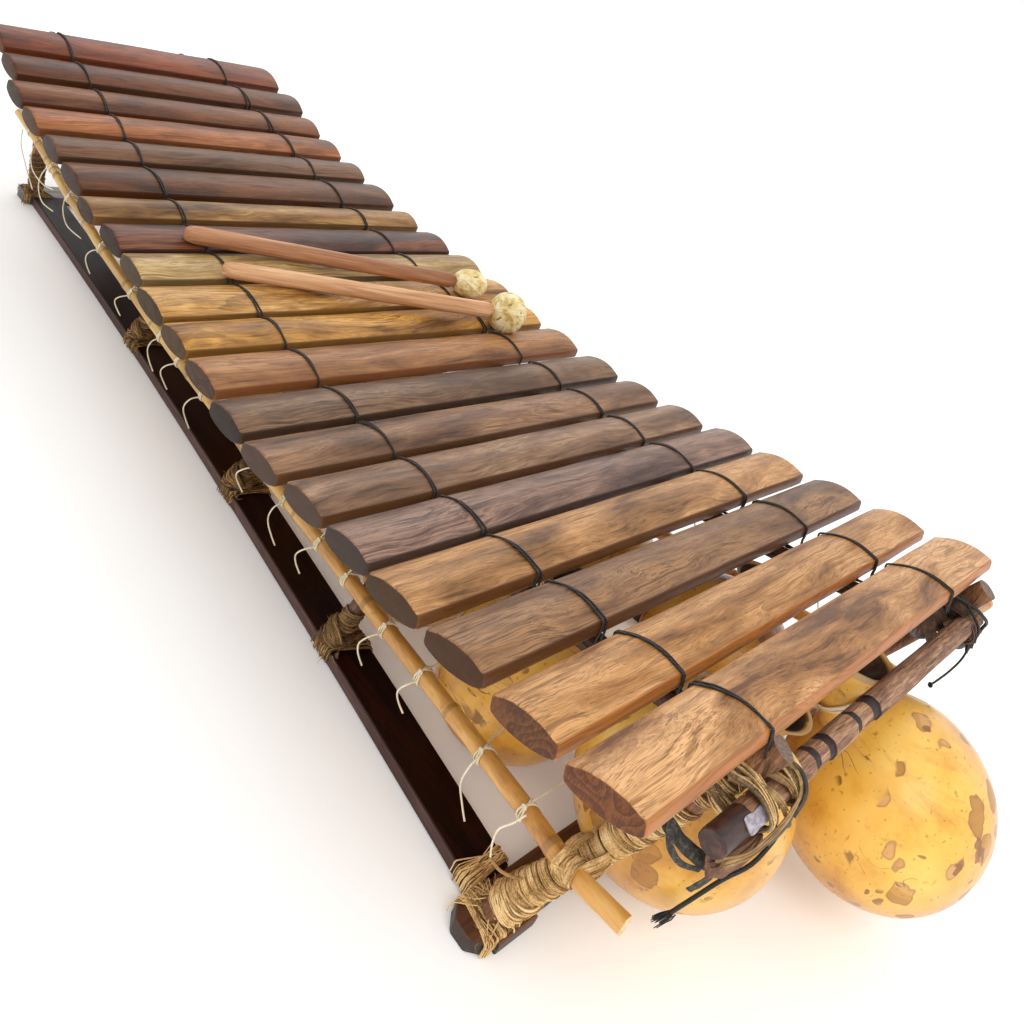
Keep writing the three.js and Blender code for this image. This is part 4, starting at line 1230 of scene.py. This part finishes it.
acc = Acc()
foot_bands(acc, F, -1, 66, 16, 10)
for k in range(2):
    over_board(acc, (-(outer(88 + 6 * k) - 18), 88 + 6.2 * k), 18.8, 12.0, 0.12 * (1 - 2 * k), 40 + k, 6.5, 1.0, (0, 1), 6, 2, 0.40)
hairs(acc, [Vector((-215, 55, 12)), Vector((-200, 52, 12)), Vector((-190, 60, 13)), F], 50, 7, 8, random.Random(9), 1, 0.1, 0.2)
acc.obj("foot_lashing_left", [M_twine, M_twine_d], "frame", 60)

# other feet, plainer
for side, yy, nm_, n_ in ((1, 66, "near_right", 4), (-1, 1097, "far_left", 4), (1, 1097, "far_right", 4)):
    acc = Acc()
    foot = Vector(LEGS["leg_" + nm_][0])
    topv = Vector(LEGS["leg_" + nm_][1])
    foot_bands(acc, foot, -1 if foot.x < 0 else 1, yy, 16 if yy < 100 else 17, 50 + yy + side, 20)
    helix_band(acc, foot, topv, LEGS["leg_" + nm_][2] + 0.8, 7, 0.02, 0.26, yy, 7.5, 2.0, (0, 1), 4, 16, 1.0)
    hairs(acc, [foot, foot + Vector((0, 0, 12))], 24, 9, 10, rnd, 1, 0.1, 0.25)
    acc.obj("foot_lashing_" + nm_, [M_strip, M_twine_d], "frame", 60)

# strut lashings: brown bast strips round the board and the foot of the strut, more under the rail
for side, tag in ((-1, "left"), (1, "right")):
    for k, y in enumerate(STRUT_Y):
        acc = Acc()
        xo = side * (outer(y) - 18)
        a = Vector((side * (outer(y) - 8), y, 12.3))
        b = Vector((side * rail_x(y), y, shoulder(y) - 37))
        for j in range(4):
            over_board(acc, (xo, y - 9 + 6.2 * j), 18.8, 12.0, (-0.16, 0.10, -0.04, 0.2)[j], 60 + j + k * 9, 9.5, 1.3, (0, 1), 5, 3, 0.45)
        helix_band(acc, a, b, 7.6, 4, 0.04, 0.24, k + side + 3, 10.5, 2.0, (0, 1), 5, 16, 1.6)
        for j in range(4):
            ring_band(acc, a + Vector((0, 0, 5 + 3.0 * j)), (1, 0.45 * (j - 1.5), 0.25 * (1.5 - j)), (0, 1, 0.4 * (j - 1.5)), 11.5, 11.0, j + k * 3.3 + 0.5, 8.0, 1.6, (0, 1), 4, 26, 1.5)
        for j in range(3):
            ring_band(acc, b + Vector((0, -7 + 6.5 * j, 5.0)), (1, 0.1, 0.0), (0, 0.2, 1), 10.4, 13.6, j + k * 5.1, 7.5, 1.7, (0, 1), 4, 26, 1.2)
        rnd = random.Random(70 + k + side)
        for j in range(5):
            # loose strip ends over the outer edge
            p0 = Vector((side * (outer(y) - 3), y - 12 + 5 * j, 13.5))
            p1 = p0 + Vector((side * rnd.uniform(2.2, 3.0), rnd.uniform(-5, 5), -3))
            p2 = Vector((side * (outer(y) + 2.2), p1.y + rnd.uniform(-12, 4), rnd.uniform(1.6, 7)))
            acc.tube(catmull([p0, p1, p2], 6), [2.2 * (1 - 0.6 * t / 12) for t in range(13)], 8, j % 2, flat=0.35, up=(side, 0, 0.6), edge=True)
        hairs(acc, [a, a + Vector((0, 8, 3)), a + Vector((side * 8, -6, 2))], 34, 9, 12, rnd, 1, 0.0, 0.24)
        acc.obj("strut_lashing_%s_%d" % (tag, k + 1), [M_strip, M_twine_d], "frame", 60)


def ribbon(acc, pts, width, thick, ups, mat, strands=0, mats=None, seed=1):
    p = catmull(pts, 5)
    if hasattr(ups[0], "__len__"):
        uu = [Vector(u) for u in catmull(ups, 5)]
    else:
        uu = [Vector(ups)] * len(p)
    acc.bundle(p, uu, width, thick, random.Random(seed), mats or (mat,), strands, r=0.45)


# left end of the near slat: bast bands each side of the leg, the leg top stands clear
acc = Acc()
for j in range(3):
    ring_band(acc, (-165 + 4.6 * j, -13.5, 195.0), (0.05 * j, 1, 0.10 * j - 0.1), (0.2 * math.sin(j * 1.3), 0, 1), 20.5, 11.2, j * 1.7, 6.0, 1.7, (0, 1), 5, 28, 1.4)
for j in range(3):
    ring_band(acc, (-128 + 5.0 * j, -14.5, 194.5), (0, 1, 0.08 * j), (0.2 * math.sin(j * 1.3), 0, 1), 18.5, 11.0, j * 1.9 + 30, 6.0, 1.7, (1, 0), 5, 28, 1.4)
for j in range(3):
    ring_band(acc, (-150, -9, 181 + 4.5 * j), (1, 0.35 * (j - 1), 0.3), (0, 1, 0.25 * (1 - j)), 14.0, 17.5, j * 2.3 + 40, 6.0, 1.7, (1, 0), 5, 28, 1.4)
# turns of the leg binding where it runs up to the slat
helix_band(acc, F, T, 10.2, 4, 0.76, 0.93, 33, 7.5, 2.0, (0, 1), 5, 18, 2.0)
rnd = random.Random(81)
hairs(acc, [Vector((-160, -14, 192)), Vector((-152, -20, 186)), Vector((-135, -12, 190))], 60, 15, 10, rnd, 1, 0.3, 0.24)
acc.obj("slat_lashing_near_left", [M_fibre, M_twine], "frame", 60)

acc = Acc()
# broad bark thongs that sweep from behind the leg top round in front of the slat end
ribbon(acc, [(-128, -6, 205), (-122, -20, 206), (-124, -31, 200), (-140, -35.5, 192), (-160, -36.5, 186.5), (-180, -35.5, 184.5), (-200, -30, 184)], 5.5, 1.5,
       [(0, 0, 1), (0.4, -0.4, 1), (0.4, -1, 0.6), (0, -1, 0.1), (0, -1, 0.0), (0, -1, -0.1), (-0.3, -1, -0.2)], 0, 4, (0,), 3)
ribbon(acc, [(-134, -8, 207), (-128, -22, 209), (-131, -32, 203), (-146, -35.5, 196), (-166, -36, 191), (-186, -34.5, 189), (-204, -27, 187)], 3.4, 1.3,
       [(0, 0, 1), (0.4, -0.4, 1), (0.3, -1, 0.6), (0, -1, 0.1), (0, -1, 0.0), (0, -1, -0.1), (-0.3, -1, -0.2)], 0, 3, (0,), 4)
ribbon(acc, [(-152, 4, 202), (-146, -14, 207.5), (-138, -24, 206), (-130, -30, 198)], 6.5, 1.5, [(-0.3, 0, 1), (0, -0.1, 1), (0.1, -0.5, 1), (0.3, -1, 0.3)], 0, 4, (0,), 5)
ribbon(acc, [(-168, -2, 203), (-158, -18, 205.5), (-150, -27, 202), (-144, -33.5, 195)], 6.0, 1.5, [(-0.3, 0, 1), (0, -0.1, 1), (0.1, -0.5, 1), (0.3, -1, 0.3)], 0, 4, (0,), 6)
# bark plate under the end
ribbon(acc, [(-204, -25, 178.5), (-190, -29, 177), (-172, -31.5, 177), (-155, -31, 179)], 13, 3.2, [(0, -0.8, 0.6)] * 4, 1, 5, (1,), 7)
acc.obj("bark_strips_left", [M_barkstrip, M_barkdark], "frame", 45)

acc = Acc()
ribbon(acc, [(-207, 4, 182), (-205, -8, 178), (-198, -20, 174), (-188, -29, 171)], 9, 1.8, [(-0.4, -0.5, 1), (-0.4, -0.6, 0.9), (-0.2, -0.9, 0.6), (0, -1, 0.3)], 0)
ribbon(acc, [(-190, -28, 172), (-196, -28, 168), (-201, -26, 162), (-203, -24, 157)], 6, 1.8, [(0, -1, 0.3), (-0.3, -1, 0.2), (-0.6, -1, 0), (-0.6, -1, 0)], 0)
ribbon(acc, [(-207, 2, 186), (-213, -5, 178), (-208, -14, 170), (-198, -22, 168)], 4.5, 1.6, [(-1, -0.2, 0.3), (-1, -0.4, 0.2), (-1, -0.6, 0), (-0.6, -1, 0)], 0)
acc.obj("cloth_strip_left", [M_greycloth], "frame", 45)

acc = Acc()
ribbon(acc, [(-134, -33, 197), (-136, -36.5, 188), (-140, -37, 179), (-147, -36, 172)], 8.5, 1.8, [(0, -1, 0.1)] * 4, 0)
acc.tube(catmull([(-128, -8, 206), (-124, -24, 208), (-127, -34, 201), (-136, -36.5, 190)], 6), 2.0, 8, 0)
acc.obj("leather_strip_left", [M_leather], "frame", 45)

# pale patch on the slat end, small pegs at the right end
acc = Acc()
ribbon(acc, [(-184, -27.4, 200.4), (-172, -27.6, 200.6), (-160, -27.4, 200.8)], 9.5, 0.9, [(0, -0.62, 1)] * 3, 0)
acc.obj("slat_patch_left", [M_lav], "frame", 45)
acc = Acc()
acc.tube([(224, -14, 190), (228, -17, 197), (232.5, -20, 204), (236, -22.5, 210), (237.6, -23.6, 212.6), (238.3, -24.1, 213.7)], [5.0, 5.2, 5.2, 4.9, 4.0, 2.2], 16, 0, bump=lambda i, a: 0.06 * mn.noise(Vector((i, math.cos(a), math.sin(a)))))
acc.tube([(219, -26, 184), (227, -29, 184.5), (235, -31, 186)], [2.4, 2.6, 2.2], 8, 1)
acc.tube([(222, -27, 177), (229, -29.5, 177.5), (236, -31, 178)], [2.2, 2.4, 2.0], 8, 1)
acc.obj("pegs_right", [M_peg, M_peg], "frame", 45)

# right end: dark leather strips behind, a few black turns, both stick ends stand clear
acc = Acc()
for j in range(3):
    ring_band(acc, (199 + 4.2 * j, -13.0, 192.0), (0, 1, 0.08 * j), (0.3, 0, 1), 20.5, 10.6, j * 1.9 + 31, 5.5, 1.8, (0,), 2, 28, 1.2)
ring_band(acc, (214, -8, 184), (1, 0.3, 0.3), (0, 1, 0.2), 13.6, 15.5, 44.0, 6.0, 1.8, (0,), 2, 28, 1.2)
ring_band(acc, (214, -8, 178), (1, -0.3, -0.2), (0, 1, 0.2), 13.6, 15.5, 45.0, 6.0, 1.8, (1,), 2, 28, 1.2)
ring_band(acc, (216.5, -7.5, 205), (1, 0, 0), (0, 1, 0.1), 10.8, 11.2, 46.0, 9.0, 2.2, (0,), 2, 28, 0.6)
ring_band(acc, (216, -6.5, 197), (1, 0, 0.15), (0, 1, -0.1), 11.0, 11.6, 47.0, 9.0, 2.2, (1, 0), 2, 28, 0.6)
ribbon(acc, [(146, 2, 196), (158, 2, 187), (172, 2, 183), (188, 0, 186), (204, -4, 194)], 13, 2.0, [(-0.5, -0.6, 0.6)] * 5, 0)
ribbon(acc, [(163, 8, 196), (168, 6, 184), (176, 4, 176), (188, 0, 172), (200, -6, 176)], 10, 2.0, [(-0.5, -0.7, 0.5)] * 5, 1)
ribbon(acc, [(182, 10, 200), (184, 2, 190), (184, -6, 180), (188, -12, 172)], 12, 2.0, [(-0.6, -0.6, 0.5)] * 4, 0)
ribbon(acc, [(196, -20, 178), (206, -27, 177), (216, -30, 179), (226, -29, 184)], 9, 2.0, [(0, -1, 0.1)] * 4, 1)
acc.obj("leather_wraps_right", [M_leather_b, M_leather], "frame", 45)
acc = Acc()
acc.tube(catmull([(199, -4, 214), (206, -14, 212.5), (212, -22, 210), (221, -29.5, 204), (229, -31.5, 198), (231, -31, 190), (226, -31, 182)], 6), 1.5, 8, 0)
acc.tube(catmull([(203, 3, 213), (206, -8, 214), (206, -20, 208), (208, -29, 201), (213, -32.5, 193), (218, -32, 184)], 6), 1.3, 8, 0)
for c_ in ((226, -32, 181), (219, -33, 179)):
    acc.tube(loop_round(c_, (1, 0.2, 0), (0, 0.3, 1), 2.6, 2.4, c_[0], 10, 0.8), 1.5, 7, 0, loop=True, caps=False)
acc.obj("cord_turns_right", [M_tail], "frame", 60)

# far slat lashings
acc = Acc()
for side in (-1, 1):
    for j in range(4):
        ring_band(acc, (side * 112 - 10 + 6.2 * j, 1146, 174), (0, 1, 0.05 * math.sin(j * 2.0)), (0.2 * math.sin(j * 1.3), 0, 1), 22.5, 10.8, j * 1.7 + side, 7.0, 1.8, (0, 1), 4, 26, 1.4)
acc.obj("slat_lashing_far", [M_strip, M_twine_d], "frame", 60)

# ------------------------------------------------------------------ strings that hold the gourds to the cane
TIES = [(1101.4, 0), (1024.2, 0), (963.6, 0), (863.5, 1), (771.8, 1), (691.3, 1), (645.9, 1), (587.8, 1), (476.6, 1), (424.0, 1), (364.8, 1), (320.0, 1), (261.8, 1), (211.1, 1), (135.1, 1), (87.0, 1)]


def at_len(s):
    acc_, last = 0.0, CF[0]
    for p in CF[1:]:
        seg = (p - last).length
        if acc_ + seg >= s:
            return last.lerp(p, (s - acc_) / seg), (p - last).normalized()
        acc_ += seg
        last = p
    return CF[-1], (CF[-1] - CF[-2]).normalized()


UPS = {1: (-150, 75.4, 108.3), 2: (-150, 137.4, 88.7), 3: (-150, 203.2, 82.1), 4: (-150, 256.6, 80.1)}
acc = Acc()
rnd = random.Random(11)
tie_points = []
for ti, (s, far) in enumerate(reversed(TIES)):
    c, t = at_len(s)
    rc = 6.45 - 1.25 * s / 1151 + 0.7
    side_ = t.cross(Vector((0, 0, 1))).normalized()
    upv = side_.cross(t).normalized()
    tie_points.append((c, t, side_, upv, rc))
    for j in range(3):
        tl = (j - 1) * 0.45
        n1 = (side_ * math.cos(tl) + t * math.sin(tl)).normalized()
        acc.tube(loop_round(c + t * (j - 1) * 1.2, n1, upv, rc / max(0.75, math.cos(tl)), rc, ti + j * 3.0, 20, 0.3), 0.72, 6, 0, loop=True, caps=False)
    kn = c + side_ * 0 + upv * (rc + 0.8) * 0.7 - side_ * rc * 0.7
    acc.tube(loop_round(kn, t, upv, 1.7, 1.5, ti * 1.7, 10, 0.6), 0.75, 6, 0, loop=True, caps=False)
    # taut string from the tie inwards under the bars
    y = c.y + rnd.uniform(-12, 22)
    if ti in (0, 1, 2, 3):
        q1 = Vector(UPS[ti + 1])
        e = q1 + (q1 - c) * 0.75
    else:
        yy, zz = bury(min(max(y, 30), 1120), 34)
        e = Vector((-(rail_x(yy)) - 2, yy, zz))
    mid_ = (kn + e) / 2 + Vector((0, 0, -1.5))
    acc.tube(catmull([kn, mid_, e], 8), 0.75, 6, 0)
acc.obj("gourd_strings_left", [M_string], "frame", 60)

# mirrored, simpler set on the right cane
acc = Acc()
for s, far in TIES[1::2]:
    c, t = at_len(s)
    c = Vector((-c.x + swing(c.y), c.y, c.z))
    rc = 6.45 - 1.25 * s / 1151 + 0.7
    for j in range(3):
        acc.tube(loop_round(c + t * (j - 1) * 1.3, (1, 0.2 * (j - 1), 0), (0, 0.2, 1), rc, rc, s + j, 18, 0.3), 0.62, 6, 0, loop=True, caps=False)
    yy, zz = bury(min(max(c.y + 10, 30), 1120), 34)
    acc.tube(catmull([c + Vector((0, 0, rc)), Vector(((c.x + rail_x(yy)) / 2, (c.y + yy) / 2, (c.z + zz) / 2 - 2)), Vector((rail_x(yy) + 2, yy, zz))], 8), 0.62, 6, 0)
acc.obj("gourd_strings_right", [M_string], "frame", 60)

# suspension string of each gourd: round its neck and up to both rails
acc = Acc()
for gi, (c, Rg, mth, rm, bend) in enumerate(GOURDS):
    Pb = Vector(bend) if bend else Vector((mth[0], mth[1], mth[2] - 0.55 * rm))
    ax = (Pb - Vector(c)).normalized()
    u = ax.orthogonal().normalized()
    for j in range(3):
        acc.tube(loop_round(Pb - ax * (4 - 1.6 * j), u, ax.cross(u), 0.68 * rm + 1.3, 0.68 * rm + 1.3, gi + j, 28, 0.5), 0.8, 6, 0, loop=True, caps=False)
    for sd in (-1, 1):
        yy, zz = bury(min(max(Pb.y, 30), 1120), 33)
        e = Vector((sd * (rail_x(yy) - 6), yy, zz))
        st = Pb + Vector((sd * (0.68 * rm + 1.0), 0, 0))
        if gi > 0:
            acc.tube(catmull([st, (st + e) / 2 + Vector((0, 0, -3)), e], 6), 0.7, 6, 0)
acc.obj("neck_strings", [M_string], "frame", 60)


# ------------------------------------------------------------------ free ends of cord
def free_cord(name, pts, dia, mat):
    p = catmull(pts, 1)
    n = 30
    L_ = length(catmull(pts, 12))
    dense = resample(catmull(pts, 12), L_ / n)
    cu = bpy.data.curves.new(name, "CURVE")
    cu.dimensions = "3D"
    sp = cu.splines.new("POLY")
    sp.points.add(len(dense) - 1)
    for k, q in enumerate(dense):
        w_ = P(*q)
        sp.points[k].co = (w_.x, w_.y, w_.z, 1)
    cu.bevel_depth = dia / 2000
    cu.bevel_resolution = 3
    cu.use_fill_caps = True
    cu.materials.append(mat)
    o = bpy.data.objects.new(name, cu)
    bpy.context.scene.collection.objects.link(o)
    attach(o, "frame")
    return o


def frayed(name, tip, d, ln, n, mat, r0=1.2, seed=0):
    rnd_ = random.Random(seed)
    acc_ = Acc()
    tip, d = Vector(tip), Vector(d).normalized()
    for _ in range(n):
        s_ = Vector((rnd_.gauss(0, 1), rnd_.gauss(0, 1), rnd_.gauss(0, 1)))
        s_ = (s_ - d * s_.dot(d)) * 0.22
        a_ = tip - d * 3 + s_ * r0 * 1.5
        b_ = tip + (d + s_ * 0.7).normalized() * ln * rnd_.uniform(0.6, 1.0)
        if b_.z < 0.6:
            b_.z = 0.6
        acc_.tube([a_, (a_ + b_) / 2 + s_ * 1.2, b_], [0.55, 0.45, 0.3], 5)
    return acc_.obj(name, [mat], "frame", 60)


# black tail over the left big gourd
tailL = [(-140, -35.5, 190), (-126, -36.5, 176), (-108, -32.5, 156), (-112, -33.5, 148), (-127, -33.0, 135.5), (-141, -27, 124), (-150, -21, 105), (-150.5, -14.5, 80)]
fr_ = frayed("tail_left_fray", tailL[-1], (-0.1, 0.35, -1), 14, 22, M_tail, 2.4, 3)
free_cord("tail_left", tailL, 3.0, M_tail)
tailR = [(203, -32.5, 184), (200, -34.5, 177), (192, -35, 170.5), (179, -34, 164), (166, -32.5, 160), (154, -31, 157.5)]
acc = Acc()
for k in range(3):
    acc.tube(loop_round((203.5 - k, -33, 183 - 1.2 * k), (1, 0.3 * k, 0.4), (0, 0.5, 1), 2.6, 2.2, 3.0 + k, 10, 0.8), 1.1, 7, 0, loop=True, caps=False)
acc.tube(loop_round((154.5, -31, 157.6), (0.3, 0.2, 1), (0, 1, 0.1), 1.5, 1.3, 7.0, 10, 0.5), 0.9, 7, 0, loop=True, caps=False)
kn_ = acc.obj("tail_right_knots", [M_tail], "frame", 60)
free_cord("tail_right", tailR, 1.8, M_tail)

hang = [
    ("string_end_01", [(-207.5, 74, 100.5), (-211, 77, 92), (-209.5, 84, 76), (-208, 84, 62), (-208, 80, 51)], 1.4),
    ("string_end_02", [(-196, 124, 92), (-200, 126, 82), (-197, 128, 60), (-192, 122, 42), (-189.5, 116, 31)], 1.4),
    ("string_end_03", [(-141, 1096, 97), (-143, 1088, 80), (-141, 1068, 60), (-140, 1040, 42)], 1.4),
    ("string_end_04", [(-141, 1058, 92), (-144, 1052, 78), (-141, 1046, 64), (-139, 1020, 60), (-138, 992, 66)], 1.4),
    ("string_end_05", [(-141, 1010, 88), (-143, 1018, 72), (-140, 1025, 52), (-139, 1010, 40), (-138, 980, 43)], 1.4),
    ("string_end_06", [(-141, 952, 76), (-143, 946, 62), (-140, 934, 48), (-138, 900, 50)], 1.4)]
for k, s in enumerate((863.5, 771.8, 691.3, 645.9, 587.8, 476.6, 424.0, 364.8, 261.8, 211.1)):
    c, t = at_len(s)
    r1 = random.Random(100 + k)
    o1 = Vector((c.x - 7.2, c.y - 1, c.z - 0.5))
    w_, h_ = r1.uniform(5, 8), r1.uniform(0.8, 1.25)
    dy = r1.uniform(-6, 10)
    pts = [o1, o1 + Vector((-w_ * 0.8, 2 + dy * 0.2, -3.5)), o1 + Vector((-w_, 5 + dy * 0.5, -11 * h_)), o1 + Vector((-w_ * 0.7, 6 + dy * 0.8, -19 * h_)),
           o1 + Vector((-w_ * 0.2, 3 + dy, -27 * h_)), o1 + Vector((1.0, -3 + dy, -33 * h_))]
    pts = [Vector((p.x, p.y, max(p.z, 15.0 + 0.8 * i_))) for i_, p in enumerate(reversed(pts))][::-1]
    hang.append(("string_end_%02d" % (k + 7), pts, 1.4))
for nm_, pts, dia in hang:
    free_cord(nm_, pts, dia, M_string)
acc = Acc()
acc.tube(catmull([(-208, 81, 52), (-205, 72, 48), (-200, 62, 50), (-196, 56, 54)], 5), [1.1] * 16, 6)
acc.obj("twig_end_01", [M_twine_d], "frame", 60)

# ------------------------------------------------------------------ stage, light
me = bpy.data.meshes.new("floor")
S_ = 30.0
me.from_pydata([(-S_, -S_, -0.0005), (S_, -S_, -0.0005), (S_, S_, -0.0005), (-S_, S_, -0.0005)], [], [(0, 1, 2, 3)])
floor = bpy.data.objects.new("floor", me)
bpy.context.scene.collection.objects.link(floor)
fm = Mat("floor_pale", 0.8, spec=0.1)
fm.color(lin("fefefd"))
fm.b.inputs["Emission Color"].default_value = (1, 1, 1, 1)
fm.b.inputs["Emission Strength"].default_value = 0.10
me.materials.append(fm.m)

world = bpy.data.worlds.new("world")
bpy.context.scene.world = world
world.use_nodes = True
bg = world.node_tree.nodes["Background"]
bg.inputs[0].default_value = (1, 1, 1, 1)
bg.inputs[1].default_value = 1.0


def area(name, loc, target, size, power, col=(1, 1, 1)):
    ld = bpy.data.lights.new(name, "AREA")
    ld.shape = "RECTANGLE"
    ld.size, ld.size_y = size
    ld.energy = power
    ld.color = col
    lo_ = bpy.data.objects.new(name, ld)
    bpy.context.scene.collection.objects.link(lo_)
    lo_.location = loc
    lo_.rotation_mode = "QUATERNION"
    lo_.rotation_quaternion = (Vector(loc) - Vector(target)).to_track_quat("Z", "Y")
    return lo_


area("key", (-0.9, -1.6, 2.0), (0, -0.1, 0.1), (1.5, 1.2), 17, (1.0, 0.98, 0.95))
area("fill", (1.6, -1.0, 0.9), (0, 0, 0.1), (1.6, 1.2), 3, (1.0, 0.99, 0.97))
area("back", (1.1, 1.7, 1.5), (0, 0.2, 0.1), (1.8, 1.2), 12)
bpy.context.scene.view_settings.view_transform = "Standard"
